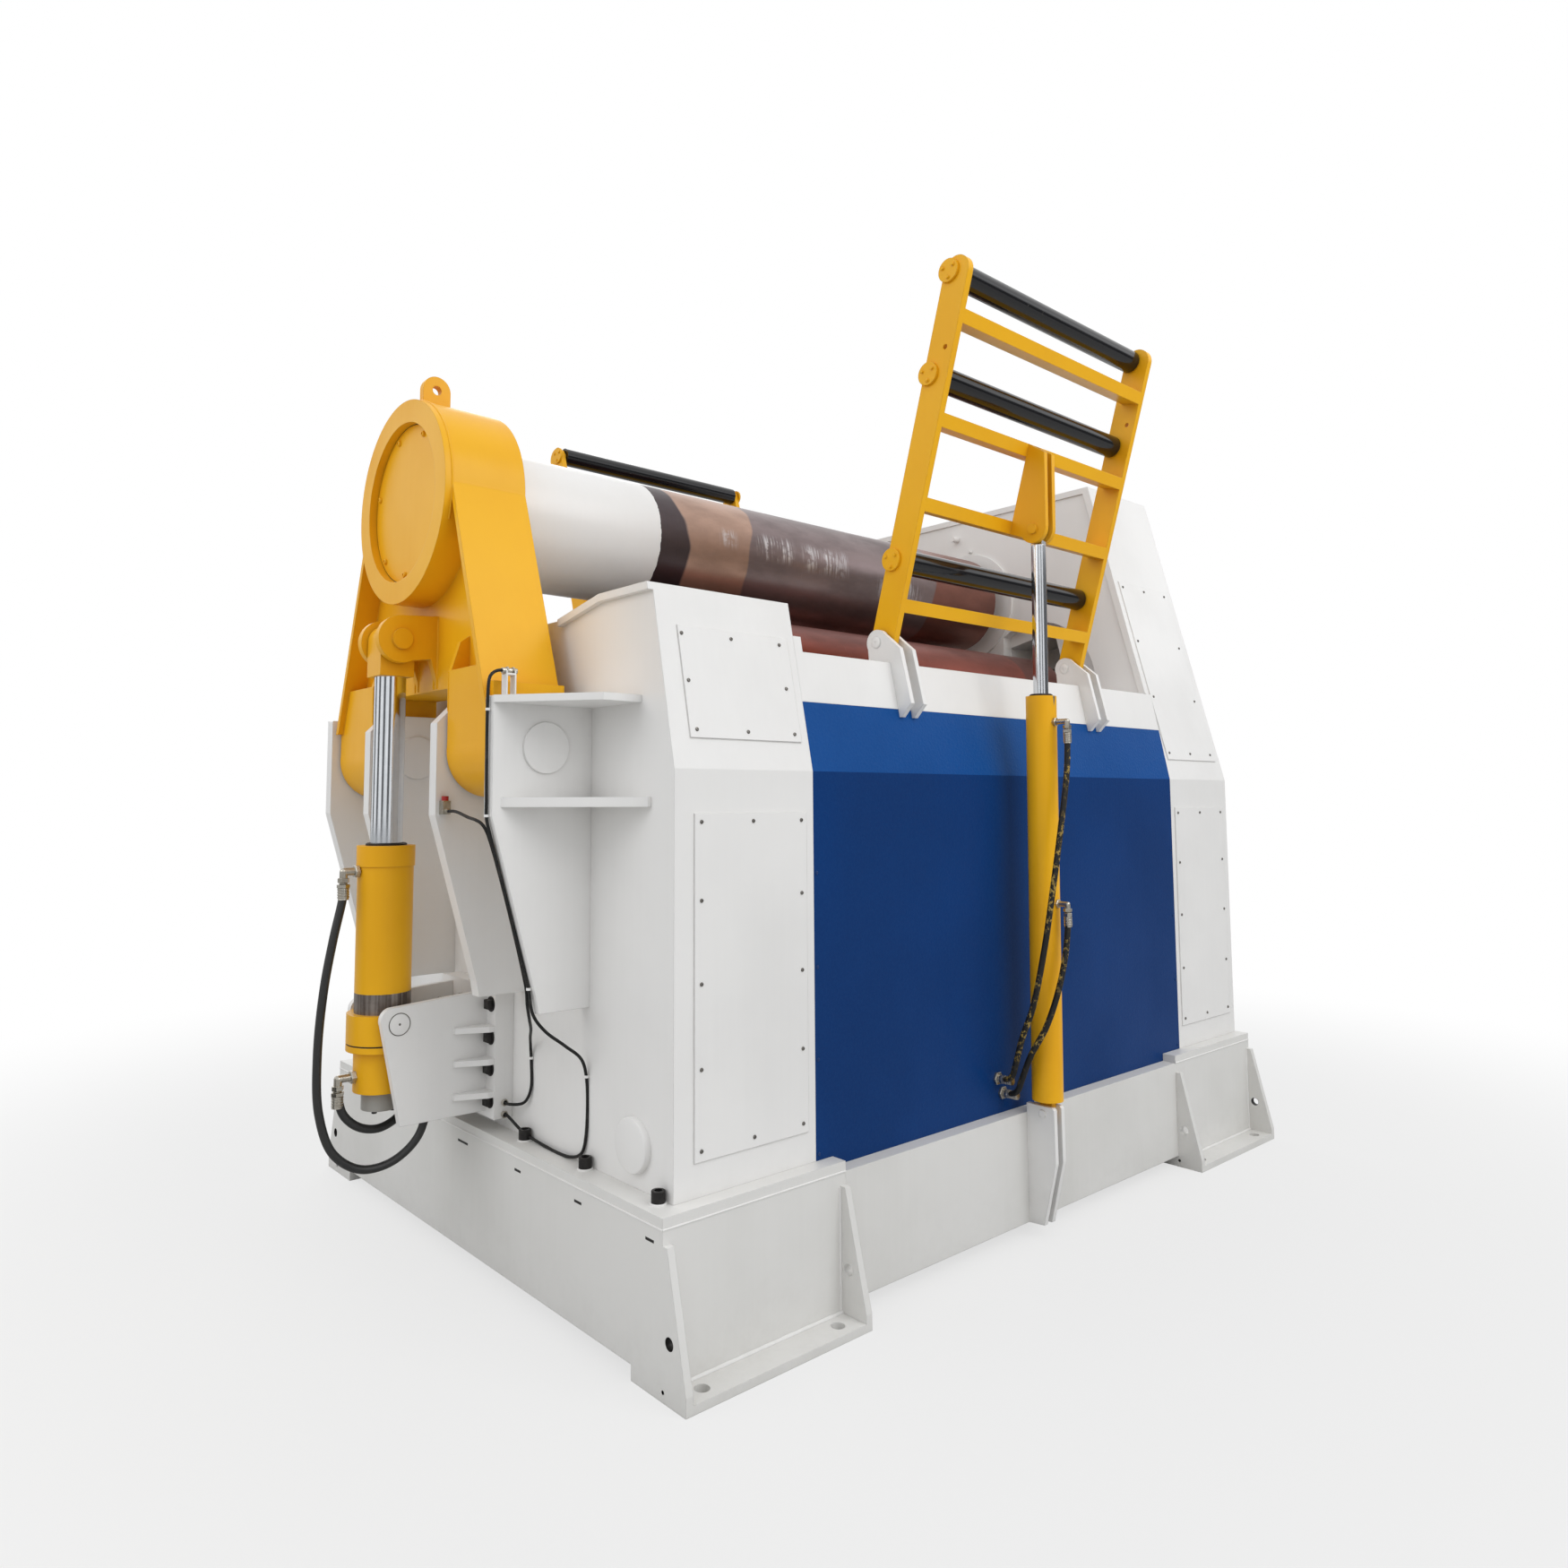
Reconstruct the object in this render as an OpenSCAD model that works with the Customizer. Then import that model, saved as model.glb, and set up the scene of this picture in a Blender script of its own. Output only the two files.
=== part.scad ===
// Four-roll plate bending machine with a drop end, plate supports and a welded base.
// +X runs along the rolls to the drive end, -Y is the working front, +Z is up.
// The origin lies on the floor, at the middle of the foot plates.

/* [Rolls] */
// Height of the top roll's axis above the floor
roll_axis_z = 2660; // [2640:1:2700]
// Radius of the top roll's barrel
top_roll_r = 250; // [200:1:300]
// Radius of the side rolls' barrels
side_roll_r = 200; // [160:1:205]
// Radius of the bottom roll's barrel
bottom_roll_r = 218; // [180:1:222]
// Left end of the rolls' bare working face
face_left_x = -1080; // [-1110:1:-1000]
// Right end of the rolls' bare working face
face_right_x = 1101; // [1000:1:1120]
// Distance of a side roll's axis from the middle plane, lowered
side_roll_y = 440; // [430:1:450]
// Height of a side roll's axis, lowered
side_roll_z = 2119; // [2080:1:2125]
// Height of the bottom roll's axis
bottom_roll_z = 2112; // [2060:1:2120]
// Lean of the side rolls' guides towards the middle, in degrees
guide_lean = 13; // [8:1:15]
// Travel of a side roll up its guides
side_travel = 200; // [120:1:200]
// Radius of the top roll's neck at the drive end
top_neck_r = 150; // [120:1:170]
// Radius of the side rolls' necks
side_neck_r = 90; // [70:1:100]
// Radius of the bottom roll's necks
bottom_neck_r = 100; // [80:1:110]

/* [Stands] */
// Inner face of the left stand
left_in_x = -1118; // [-1130:1:-1110]
// Outer face of the left stand
left_out_x = -1677; // [-1690:1:-1660]
// Inner face of the right stand
right_in_x = 1195; // [1185:1:1230]
// Outer face of the right stand
right_out_x = 1741; // [1700:1:1760]
// Front and rear face of both stands, from the middle plane
stand_y = 1133; // [1100:1:1160]
// Height at which the front and rear faces start to lean in
bend_z = 1697; // [1650:1:1720]
// Slope of the panels and of the left stand, inwards for each unit up
panel_slope = 0.2; // [0.15:0.01:0.25]
// Height of the left stand's ridges
left_top_z = 2262; // [2230:1:2300]
// Height of the left stand between its ridges
left_mid_z = 2212; // [2190:1:2230]
// Height of the right stand's roof
right_top_z = 3169; // [3120:1:3200]
// Half of the depth of the right stand's roof
right_roof_y = 758; // [700:1:800]

/* [Base] */
// Half of the base's length along the rolls
base_x = 1756; // [1750:1:1800]
// Half of the base's depth
base_y = 1190; // [1180:1:1230]
// Height of the base's seats, where the stands are bolted
base_top_z = 474; // [450:1:500]
// Gap between the base and the floor, between the feet
base_gap = 43; // [35:1:60]
// Inner face of each end of the base, from the middle
end_in_x = 1044; // [1030:1:1060]
// Depth of the front and rear beams
beam_w = 260; // [200:1:320]
// Reach of a foot plate past the base's face
foot_reach = 105; // [90:1:120]
// Radius of a foundation bolt's hole
bolt_hole_r = 22; // [15:1:26]

/* [Tie beams and supports' brackets] */
// Height of the panels' upper edge and the tie beams' lower edge
beam_low_z = 1927; // [1900:1:1950]
// Height of the tie beams' top
beam_top_z = 2098; // [2060:1:2110]
// Rear edge of a tie beam, from the middle plane
beam_in_y = 780; // [740:1:820]
// Height of a support frame's hinge
support_z = 2179; // [2165:1:2200]
// Distance of a support frame's hinge from the middle plane
support_y = 986; // [975:1:995]

/* [Drop end] */
// Height of the drop end's hinge
hinge_z = 1768; // [1740:1:1790]
// Place of the drop end's hinge along the rolls
hinge_x = -1845; // [-1855:1:-1840]
// Radius of the bearing ring
ring_r = 362; // [345:1:375]
// Outer face of the bearing ring
ring_out_x = -2040; // [-2060:1:-2030]
// Inner face of the drop end
ring_in_x = -1745; // [-1755:1:-1740]
// Radius of the ring's recess and its cover
cover_r = 283; // [250:1:300]
// Radius of the hinge hubs
hub_r = 150; // [140:1:152]
// Inner face of a leg, from the middle plane
leg_in_y = 316; // [312:1:330]
// Outer face of a leg, from the middle plane
leg_out_y = 634; // [610:1:650]
// Radius of the hinge pins
hinge_pin_r = 50; // [40:1:60]
// Thickness of the cheeks that carry the hinge
cheek_t = 50; // [40:1:60]

/* [Drop-end cylinder] */
// Place of the cylinder's axis along the rolls
drop_cyl_x = -2060; // [-2070:1:-2050]
// Height of the trunnions
trunnion_z = 873; // [860:1:885]
// Height of the rod's pin, closed
drop_pin_z = 2160; // [2140:1:2170]
// Radius of the barrel
drop_barrel_r = 92; // [80:1:94]
// Radius of the rod
drop_rod_r = 53; // [40:1:60]
// Radius of the trunnion collar
collar_r = 115; // [105:1:118]
// Radius of the trunnions
trunnion_r = 30; // [25:1:40]

/* [Plate supports] */
// Lean of a raised support frame away from the rolls, in degrees
support_lean = 16.2; // [12:0.1:18]
// Length of a side bar, from the hinge to the top roller
support_len = 1335; // [1250:1:1400]
// Depth of a side bar
bar_w = 108; // [95:1:115]
// Thickness of a side bar
bar_t = 28; // [22:1:32]
// Distance of a side bar's middle from the frame's middle
bar_x = 611; // [560:1:640]
// Radius of a support roller
roller_r = 46; // [36:1:50]
// Place of the support cylinders along the rolls
support_cyl_x = -40; // [-100:1:60]
// Height of a support cylinder's lower pin
foot_pin_z = 449.5; // [440:0.5:460]
// Distance of that pin from the middle plane
foot_pin_y = 1259; // [1250:1:1275]
// Radius of a support cylinder's barrel
support_barrel_r = 57; // [48:1:60]
// Radius of a support cylinder's rod
support_rod_r = 28; // [22:1:32]
// Length of a support cylinder, from its lower pin to the barrel's upper end
support_barrel_len = 1546; // [1500:1:1560]

/* [Hidden] */
$fn = 64;
fit = 0.3;          // running gap of a neck, pin or block in its seat
clear = 6;          // free gap beside a moving piece
eps = 1;            // run-out of a cut past a face
plate_t = 31;       // top seats of the base
foot_t = 25;        // foot plates
skin_t = 12;        // front and rear panels

white = "whitesmoke";
yellow = "goldenrod";
steel = "silver";
roll_brown = "saddlebrown";

// ---- shared shapes ----

// Extrudes a profile drawn in the YZ plane from x0 to x1.
module along_x(x0, x1) {
    translate([x0, 0, 0]) rotate([90, 0, 90]) linear_extrude(x1 - x0) children();
}

// Extrudes a profile drawn in the XZ plane from y0 to y1.
module along_y(y0, y1) {
    translate([0, y1, 0]) rotate([90, 0, 0]) linear_extrude(y1 - y0) children();
}

// Box between its lowest and its highest corner.
module block(low, high) {
    translate(low) cube(high - low);
}

// Round bar along X, from x0 to x1.
module rod_x(r, x0, x1, y, z) {
    translate([x0, y, z]) rotate([0, 90, 0]) cylinder(r = r, h = x1 - x0);
}

// Round bar along Y, from y0 to y1.
module rod_y(r, y0, y1, x, z) {
    translate([x, y1, z]) rotate([90, 0, 0]) cylinder(r = r, h = y1 - y0);
}

// The shape and its mirror image across the middle plane.
module both_sides() {
    children();
    mirror([0, 1, 0]) children();
}

// The shape on the rear side only.
module rear() {
    mirror([0, 1, 0]) children();
}

// Height of the base's beams, under the panels.
beam_z = base_top_z - plate_t;

// Distance of the leaning front face from the middle plane, at a height.
function lean_y(z) = stand_y - max(0, z - bend_z) * panel_slope;

// ---- base ----
foot_w = 145;           // a foot plate's reach under the base
foot_in = 95;           // middle of the foundation bolts, from a foot's end
gusset_t = 25;

module base_end() {
    difference() {
        union() {
            block([-base_x, -base_y, base_gap], [-end_in_x, base_y, base_top_z - plate_t]);
            block([-base_x, -base_y, beam_z - eps], [-end_in_x, base_y, base_top_z]);
            both_sides() foot();
        }
        both_sides() for (x = [-base_x + foot_in, -end_in_x - foot_in])
            translate([x, -base_y - foot_reach / 2, -eps]) cylinder(r = bolt_hole_r, h = foot_t + 2 * eps);
    }
}

// Foot plate with its pad and the two gussets that brace it.
module foot() {
    block([-base_x, -base_y - foot_reach, 0], [-end_in_x, -base_y + foot_w, foot_t]);
    block([-base_x, -base_y, 0], [-end_in_x, -base_y + foot_w, base_gap + eps]);
    for (x = [-base_x, -end_in_x - gusset_t]) along_x(x, x + gusset_t) difference() {
        polygon([[-base_y + eps, foot_t - eps], [-base_y - foot_reach, foot_t - eps],
            [-base_y - foot_reach, 2 * foot_t], [-base_y - 20, beam_z - 40], [-base_y + eps, beam_z - 40]]);
        translate([-base_y - 32, 160]) circle(r = 18);
    }
}

module base_end_left() {
    color(white) base_end();
}

module base_end_right() {
    color(white) mirror([1, 0, 0]) base_end();
}

module base_beam() {
    block([-end_in_x, -base_y, base_gap + 3], [end_in_x, -base_y + beam_w, beam_z]);
}

module base_beam_front() {
    color(white) base_beam();
}

module base_beam_rear() {
    color(white) rear() base_beam();
}

// ---- guides of the bottom and side rolls ----
block_half = 140;       // half width of a side roll's bearing block
block_low = 160;        // a block's reach below the neck's axis
block_high = 130;       // a block's reach above the neck's axis
bottom_half = 150;      // the same of the bottom roll's blocks
bottom_low = 170;
bottom_high = 140;
pocket_left_x = left_in_x - 420;
pocket_right_x = right_in_x + 375;

// Turns a shape drawn along a guide, from the front side roll's axis, to its place.
module guide_place() {
    translate([-side_roll_y, side_roll_z]) rotate(-guide_lean) children();
}

// Guide slot of the front side roll, open by `up` above the roll's axis.
module guide_slot(up) {
    guide_place() translate([-block_half - fit, -block_low - fit])
        square([2 * (block_half + fit), block_low + up + fit]);
}

module bottom_slot(up) {
    translate([-bottom_half - fit, bottom_roll_z - bottom_low - fit])
        square([2 * (bottom_half + fit), bottom_low + up + fit]);
}

// ---- stands ----
ridge_y = 1018;         // front ridge of the left stand
ridge_in_y = 756;       // inner end of the ridge
saddle_y = 505;         // foot of the slope behind the ridge
lip = 20;               // overhang of the left stand's roof plate
lip_t = 25;

module left_profile() {
    polygon([[-stand_y, base_top_z], [-stand_y, bend_z], [-lean_y(left_top_z), left_top_z],
        [-ridge_in_y, left_top_z], [-saddle_y, left_mid_z], [saddle_y, left_mid_z],
        [ridge_in_y, left_top_z], [lean_y(left_top_z), left_top_z], [stand_y, bend_z],
        [stand_y, base_top_z]]);
}

// Roof plate of the left stand, over its outer face.
module left_roof_strip() {
    y_top = lean_y(left_top_z);
    polygon([[-y_top, left_top_z], [-ridge_in_y, left_top_z], [-saddle_y, left_mid_z],
        [-saddle_y, left_mid_z - lip_t], [-ridge_in_y, left_top_z - lip_t],
        [-y_top - 5, left_top_z - lip_t]]);
}

module left_stand() {
    color(white) {
        difference() {
            along_x(left_out_x, left_in_x) left_profile();
            both_sides() along_x(pocket_left_x, left_in_x + eps) guide_slot(side_travel + block_high);
            along_x(pocket_left_x, left_in_x + eps) bottom_slot(side_travel + block_high);
        }
        both_sides() along_x(left_out_x - lip, left_out_x + eps) left_roof_strip();
    }
}

recess_r = 345;         // round recess round a side roll's guide, in the right stand
recess_y = 420;
recess_z = 2180;
recess_in_y = 229;
recess_d = 60;
rim_t = 8;              // raised rim of the right stand's inner face
rim_w = 30;

module right_profile(inset) {
    polygon([[-stand_y + inset, base_top_z], [-stand_y + inset, bend_z],
        [-right_roof_y + inset, right_top_z - inset], [right_roof_y - inset, right_top_z - inset],
        [stand_y - inset, bend_z], [stand_y - inset, base_top_z]]);
}

module right_stand() {
    color(white) {
        difference() {
            along_x(right_in_x, right_out_x) right_profile(0);
            both_sides() along_x(right_in_x - eps, right_in_x + recess_d) intersection() {
                translate([-recess_y, recess_z]) circle(r = recess_r);
                translate([-recess_y - recess_r, recess_z - recess_r])
                    square([recess_y + recess_r - recess_in_y, 2 * recess_r]);
            }
            both_sides() along_x(right_in_x - eps, pocket_right_x)
                guide_slot(side_travel + block_high + clear);
            along_x(right_in_x - eps, pocket_right_x) bottom_slot(bottom_high + clear);
            rod_x(top_neck_r + fit, right_in_x - eps, right_out_x + eps, 0, roll_axis_z);
        }
        along_x(right_in_x - rim_t, right_in_x + eps) difference() {
            right_profile(0);
            right_profile(rim_w);
            translate([-stand_y - eps, base_top_z - eps])
                square([2 * stand_y + 2, beam_top_z + 8 - base_top_z]);
        }
        rod_x(16, right_in_x - 45, right_in_x + eps, 67, 3052);
        rod_x(9, right_in_x - 25, right_in_x + eps, -26, 2968);
    }
}

cover_t = 5;
cover_gap = 0.02;       // film of paint under a cover
left_cover_x = [left_out_x + 72, left_in_x - 34];
right_cover_x = [right_in_x + 30, right_out_x - 46];
low_cover_z = [base_top_z + 98, bend_z - 131];
left_lean_cover_z = [bend_z + 93, left_top_z - 127];
right_lean_cover_z = [bend_z + 93, bend_z + 975];

// Distance of the right stand's leaning face from the middle plane, at a height.
function right_lean_y(z) = stand_y - (z - bend_z) * (stand_y - right_roof_y) / (right_top_z - bend_z);

// Cover plate on a stand's front, between the x pair and the z pair, where the face is at the y pair.
module stand_cover(x, z, y) {
    along_x(x[0], x[1]) translate([-cover_gap, 0])
        polygon([[-y[0], z[0]], [-y[1], z[1]], [-y[1] - cover_t, z[1]], [-y[0] - cover_t, z[0]]]);
}

module stand_covers() {
    color(white) both_sides() {
        stand_cover(left_cover_x, low_cover_z, [stand_y, stand_y]);
        stand_cover(right_cover_x, low_cover_z, [stand_y, stand_y]);
        stand_cover(left_cover_x, left_lean_cover_z, [for (z = left_lean_cover_z) lean_y(z)]);
        stand_cover(right_cover_x, right_lean_cover_z, [for (z = right_lean_cover_z) right_lean_y(z)]);
    }
}

module right_bearing_ring() {
    color(white) difference() {
        rod_x(292, right_in_x - skin_t, right_in_x, 0, roll_axis_z);
        rod_x(top_neck_r + 2, right_in_x - skin_t - eps, right_in_x + eps, 0, roll_axis_z);
    }
}

// ---- panels and tie beams ----
flange_x = left_in_x + 36;      // end flange of a tie beam, at the left stand

// Bent panel; its foot stands on the beam, between the seats of the stands.
module panel() {
    low_in = stand_y - skin_t;
    along_x(left_in_x, right_in_x) polygon([[-stand_y, base_top_z], [-stand_y, bend_z],
        [-lean_y(beam_low_z), beam_low_z], [-lean_y(beam_low_z) + skin_t, beam_low_z],
        [-low_in, bend_z], [-low_in, base_top_z]]);
    block([-end_in_x, -stand_y, beam_z], [end_in_x, -low_in, base_top_z + eps]);
}

module front_panel() {
    color("royalblue") panel();
    color(steel) for (p = support_hose_ends)
        rod_y(16, -stand_y - union_len, -stand_y, p[0], p[1]);
}

module rear_panel() {
    color("royalblue") rear() panel();
}

bracket_t = 20;                 // plates of a support bracket
lobe_r = 47;                    // eye of a bracket plate
support_pin_r = 22;
face_mid_x = (face_left_x + face_right_x) / 2;

// A tie beam with its end flange and the two brackets of the support frame's hinge.
module tie_beam() {
    difference() {
        union() {
            along_x(left_in_x, right_in_x) polygon([[-lean_y(beam_low_z), beam_low_z],
                [-lean_y(beam_top_z), beam_top_z], [-beam_in_y, beam_top_z], [-beam_in_y, beam_low_z]]);
            along_x(left_in_x, flange_x) polygon([[-lean_y(beam_low_z), beam_low_z],
                [-lean_y(beam_top_z + 52), beam_top_z + 52], [-beam_in_y, beam_top_z + 52],
                [-beam_in_y, beam_low_z]]);
            for (side = [-1, 1]) for (off = [-1, 1]) bracket_plate(face_mid_x + side * bar_x, off);
        }
        for (side = [-1, 1]) rod_x(support_pin_r + fit, face_mid_x + side * bar_x - 60,
            face_mid_x + side * bar_x + 60, -support_y, support_z);
    }
    for (side = [-1, 1]) rod_x(support_pin_r, face_mid_x + side * bar_x - bar_t / 2 - clear - bracket_t - 6,
        face_mid_x + side * bar_x + bar_t / 2 + clear + bracket_t + 6, -support_y, support_z);
}

// One plate of a bracket: x is the bar's middle and off the side of the bar.
module bracket_plate(x, off) {
    near = bar_t / 2 + clear + 4;
    x0 = off < 0 ? x - near - bracket_t : x + near;
    proud = 54;
    tip_z = beam_low_z - 29;
    knee_z = beam_top_z + 49;
    along_x(x0, x0 + bracket_t) {
        polygon([[-support_y + lobe_r * 0.77, beam_top_z - eps], [-lean_y(beam_top_z) + 5, beam_top_z - eps],
            [-lean_y(beam_low_z) + 5, beam_low_z], [-lean_y(beam_low_z), beam_low_z],
            [-lean_y(tip_z), tip_z], [-lean_y(tip_z) - 10, tip_z],
            [-lean_y(tip_z) - proud, tip_z + 47], [-lean_y(knee_z) - proud, knee_z],
            [-support_y - lobe_r * 0.55, support_z + lobe_r * 0.8],
            [-support_y + lobe_r * 0.9, support_z - 10]]);
        translate([-support_y, support_z]) circle(r = lobe_r);
    }
}

module front_tie_beam() {
    color(white) tie_beam();
}

module rear_tie_beam() {
    color(white) rear() tie_beam();
}

// ---- hinge cheeks of the drop end ----
cheek_gap = 10;                 // gap between a leg and its cheeks
cheek_top_z = hinge_z + 155;
cheek_out_x = hinge_x - 180;
pin_disc_r = 80;

module cheek_profile(chamfer) {
    polygon([[left_out_x, cheek_top_z], [cheek_out_x + chamfer, cheek_top_z],
        [cheek_out_x, cheek_top_z - chamfer], [cheek_out_x, hinge_z - 209],
        [cheek_out_x + 157, hinge_z - 758], [cheek_out_x + 167, hinge_z - 810],
        [left_out_x, hinge_z - 810]]);
}

module cheeks() {
    out_y = leg_out_y + cheek_gap;
    in_y = leg_in_y - cheek_gap;
    along_y(-out_y - cheek_t, -out_y) cheek_profile(4);
    along_y(-in_y, -in_y + cheek_t) cheek_profile(62);
    rod_y(hinge_pin_r, -out_y - cheek_t - 6, -in_y + cheek_t + 6, hinge_x, hinge_z);
    rod_y(pin_disc_r, -out_y - cheek_t - 8, -out_y - cheek_t + eps, hinge_x, hinge_z);
    rod_y(pin_disc_r, -in_y + cheek_t - eps, -in_y + cheek_t + 8, hinge_x, hinge_z);
    flange_y = -out_y - cheek_t;
    translate([0, 0, cheek_top_z - 23]) linear_extrude(23) polygon([[left_out_x, flange_y + eps],
        [cheek_out_x, flange_y + eps], [cheek_out_x, flange_y], [left_out_x - 138, flange_y - 276],
        [left_out_x, flange_y - 276]]);
    translate([0, 0, hinge_z - 183]) linear_extrude(30) polygon([[left_out_x, flange_y + eps],
        [cheek_out_x + 29, flange_y + eps], [cheek_out_x + 29, flange_y], [left_out_x - 13, flange_y - 327],
        [left_out_x, flange_y - 327]]);
}

sensor_cable_d = 10;
gland_len = 14;                 // cable glands
sensor_x = [cheek_out_x + 37, cheek_out_x + 87];
sensor_y = -leg_out_y - 38;
sensor_z = cheek_top_z + 79;
switch_x = cheek_out_x + 27;
switch_z = hinge_z - 196;
switch_y = -leg_in_y - 16;      // front of the limit switch
switch_r = 14;

// Proximity sensor on its bracket, over the cheek; it sees the leg of the closed drop end.
module sensor() {
    for (x = [sensor_x[0] + 8, sensor_x[1] - 13])
        block([x, sensor_y - 15, cheek_top_z - eps], [x + 5, sensor_y + 15, sensor_z]);
    block([sensor_x[0] + 8, sensor_y - 15, sensor_z - 14], [sensor_x[1] - 8, sensor_y + 15, sensor_z - 8]);
    color(steel) rod_x(9, sensor_x[0], sensor_x[1], sensor_y, sensor_z);
}

// Limit switch on the inner cheek, with its side gland; it sees the leg of the open drop end.
module limit_switch() {
    color(steel) {
        block([switch_x - switch_r, switch_y, switch_z - 10],
            [switch_x + switch_r, -leg_in_y + cheek_gap + eps, switch_z + 34]);
        rod_y(8, switch_y - gland_len, switch_y + eps, switch_x, switch_z);
    }
    color("red") translate([switch_x, (switch_y - leg_in_y + cheek_gap) / 2, switch_z + 33])
        cylinder(r = 11, h = 16);
}

module cheeks_front() {
    color(white) cheeks();
    color(white) sensor();
    limit_switch();
}

module cheeks_rear() {
    color(white) rear() cheeks();
}

// ---- trunnion bracket of the drop-end cylinder ----
ear_t = 25;                     // ears that carry the trunnions
ear_y = collar_r + clear;
pad_t = 70;
pad_y = 210;
pad_low_z = trunnion_z - 353;
pad_high_z = trunnion_z + 92;
ear_round = 40;
union_len = 17;                 // hose unions on the panel
pad_union_len = 43;             // hose unions on the pad
pad_x = left_out_x - pad_t;
hose_union_z = trunnion_z + 20;
drop_hose_ends = [-55, 32];     // place of the two unions across the pad
cable_gland_x = pad_x + 35;
cable_gland_z = [pad_low_z + 15, pad_low_z + 55];

module ear_profile() {
    cx = drop_cyl_x - 23;
    cz = trunnion_z + 15;
    polygon([[pad_x + eps, trunnion_z + 76], [cx, cz + ear_round], [cx - ear_round, cz],
        [drop_cyl_x + 8, trunnion_z - 330], [pad_x + eps, trunnion_z - 333]]);
    translate([cx, cz]) circle(r = ear_round);
}

module trunnion_bracket() {
    color(white) {
        difference() {
            union() {
                block([pad_x, -pad_y, pad_low_z], [left_out_x, pad_y, pad_high_z]);
                both_sides() along_y(-ear_y - ear_t, -ear_y) ear_profile();
                both_sides() for (z = [trunnion_z - 48, trunnion_z - 158, trunnion_z - 268])
                    translate([0, 0, z - 10]) linear_extrude(20) polygon([[pad_x - 123, -ear_y - ear_t + eps],
                        [pad_x + eps, -ear_y - ear_t + eps], [pad_x + eps, -pad_y + 4],
                        [pad_x - 20, -pad_y + 4], [pad_x - 123, -ear_y - ear_t - 12]]);
            }
            rod_y(trunnion_r + fit, -ear_y - ear_t - eps, ear_y + ear_t + eps, drop_cyl_x, trunnion_z);
        }
    }
    color(steel) for (y = drop_hose_ends) rod_x(18, pad_x - pad_union_len, pad_x, y, hose_union_z);
    color(steel) for (z = cable_gland_z) rod_y(9, -pad_y - gland_len, -pad_y, cable_gland_x, z);
}

// ---- drives ----
module gearbox(z, r) {
    rod_x(r, right_out_x, right_out_x + 45, 0, z);
    rod_x(r - 30, right_out_x + 45, right_out_x + 260, 0, z);
    rod_x(r - 62, right_out_x + 260, right_out_x + 400, 0, z);
    rod_x(r - 35, right_out_x + 255, right_out_x + 285, 0, z);
    rod_x(85, right_out_x + 400, right_out_x + 600, 0, z);
    block([right_out_x + 560, -70, z - 70], [right_out_x + 640, 70, z + 70]);
}

module top_gearbox() {
    color("slategray") gearbox(roll_axis_z, 262);
}

module bottom_gearbox() {
    color("slategray") gearbox(bottom_roll_z, 240);
}

// ---- rolls ----
journal_gap = 6;                // free gap between the top roll's barrel and the drop end
journal_r = top_neck_r;         // large end of the journal's cone
journal_len = 245;
journal_tip_r = 60;
journal_slope = (journal_r - journal_tip_r) / journal_len;
barrel_left_x = ring_in_x + journal_gap;

module top_roll() {
    color("whitesmoke") rod_x(top_roll_r, barrel_left_x, face_left_x + eps, 0, roll_axis_z);
    color(roll_brown) rod_x(top_roll_r, face_left_x, face_right_x, 0, roll_axis_z);
    color(steel) rod_x(top_neck_r, face_right_x - eps, right_out_x - clear, 0, roll_axis_z);
    color(steel) translate([barrel_left_x - journal_len, 0, roll_axis_z]) rotate([0, 90, 0])
        cylinder(r1 = journal_tip_r, r2 = journal_r, h = journal_len);
}

module side_roll() {
    rod_x(side_roll_r, face_left_x, face_right_x, -side_roll_y, side_roll_z);
    rod_x(side_neck_r, pocket_left_x + 3 * clear, face_left_x + eps, -side_roll_y, side_roll_z);
    rod_x(side_neck_r, face_right_x - eps, pocket_right_x - 3 * clear, -side_roll_y, side_roll_z);
}

// The two bearing blocks of a side roll.
module side_blocks() {
    difference() {
        for (x = [[pocket_left_x + clear, left_in_x - clear], [right_in_x + clear, pocket_right_x - clear]])
            along_x(x[0], x[1]) guide_place() translate([-block_half, -block_low])
                square([2 * block_half, block_low + block_high]);
        rod_x(side_neck_r + fit, pocket_left_x, pocket_right_x, -side_roll_y, side_roll_z);
    }
}

module front_side_roll() {
    color(roll_brown) side_roll();
}

module rear_side_roll() {
    color(roll_brown) rear() side_roll();
}

module front_side_blocks() {
    color("dimgray") side_blocks();
}

module rear_side_blocks() {
    color("dimgray") rear() side_blocks();
}

module bottom_roll() {
    color(roll_brown) rod_x(bottom_roll_r, face_left_x, face_right_x, 0, bottom_roll_z);
    color(steel) rod_x(bottom_neck_r, pocket_left_x + 3 * clear, face_left_x + eps, 0, bottom_roll_z);
    color(steel) rod_x(bottom_neck_r, face_right_x - eps, pocket_right_x - 3 * clear, 0, bottom_roll_z);
}

module bottom_roll_blocks() {
    color("dimgray") difference() {
        for (x = [[pocket_left_x + clear, left_in_x - clear], [right_in_x + clear, pocket_right_x - clear]])
            block([x[0], -bottom_half, bottom_roll_z - bottom_low],
                [x[1], bottom_half, bottom_roll_z + bottom_high]);
        rod_x(bottom_neck_r + fit, pocket_left_x, pocket_right_x, 0, bottom_roll_z);
    }
}

// ---- drop end ----
wrap_t = 22;                    // plate bent round the housing
wrap_out_x = ring_out_x + 25;
web_x = hinge_x - 85;           // outer face of the box behind the bearing
web_low_z = hinge_z + 222;
leg_face_x = hinge_x - hub_r + 1;
leg_box_z = hinge_z + 266;
leg_low_z = hinge_z + 100;
seat_len = 150;                 // length of the bearing's conical seat
seat_gap = 1;                   // gap between the journal and its seat
recess_depth = 48;
lug_y = 62;                     // inner face of the rod's lugs, from the middle plane
lug_t = 30;
lug_r = 82;

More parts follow.
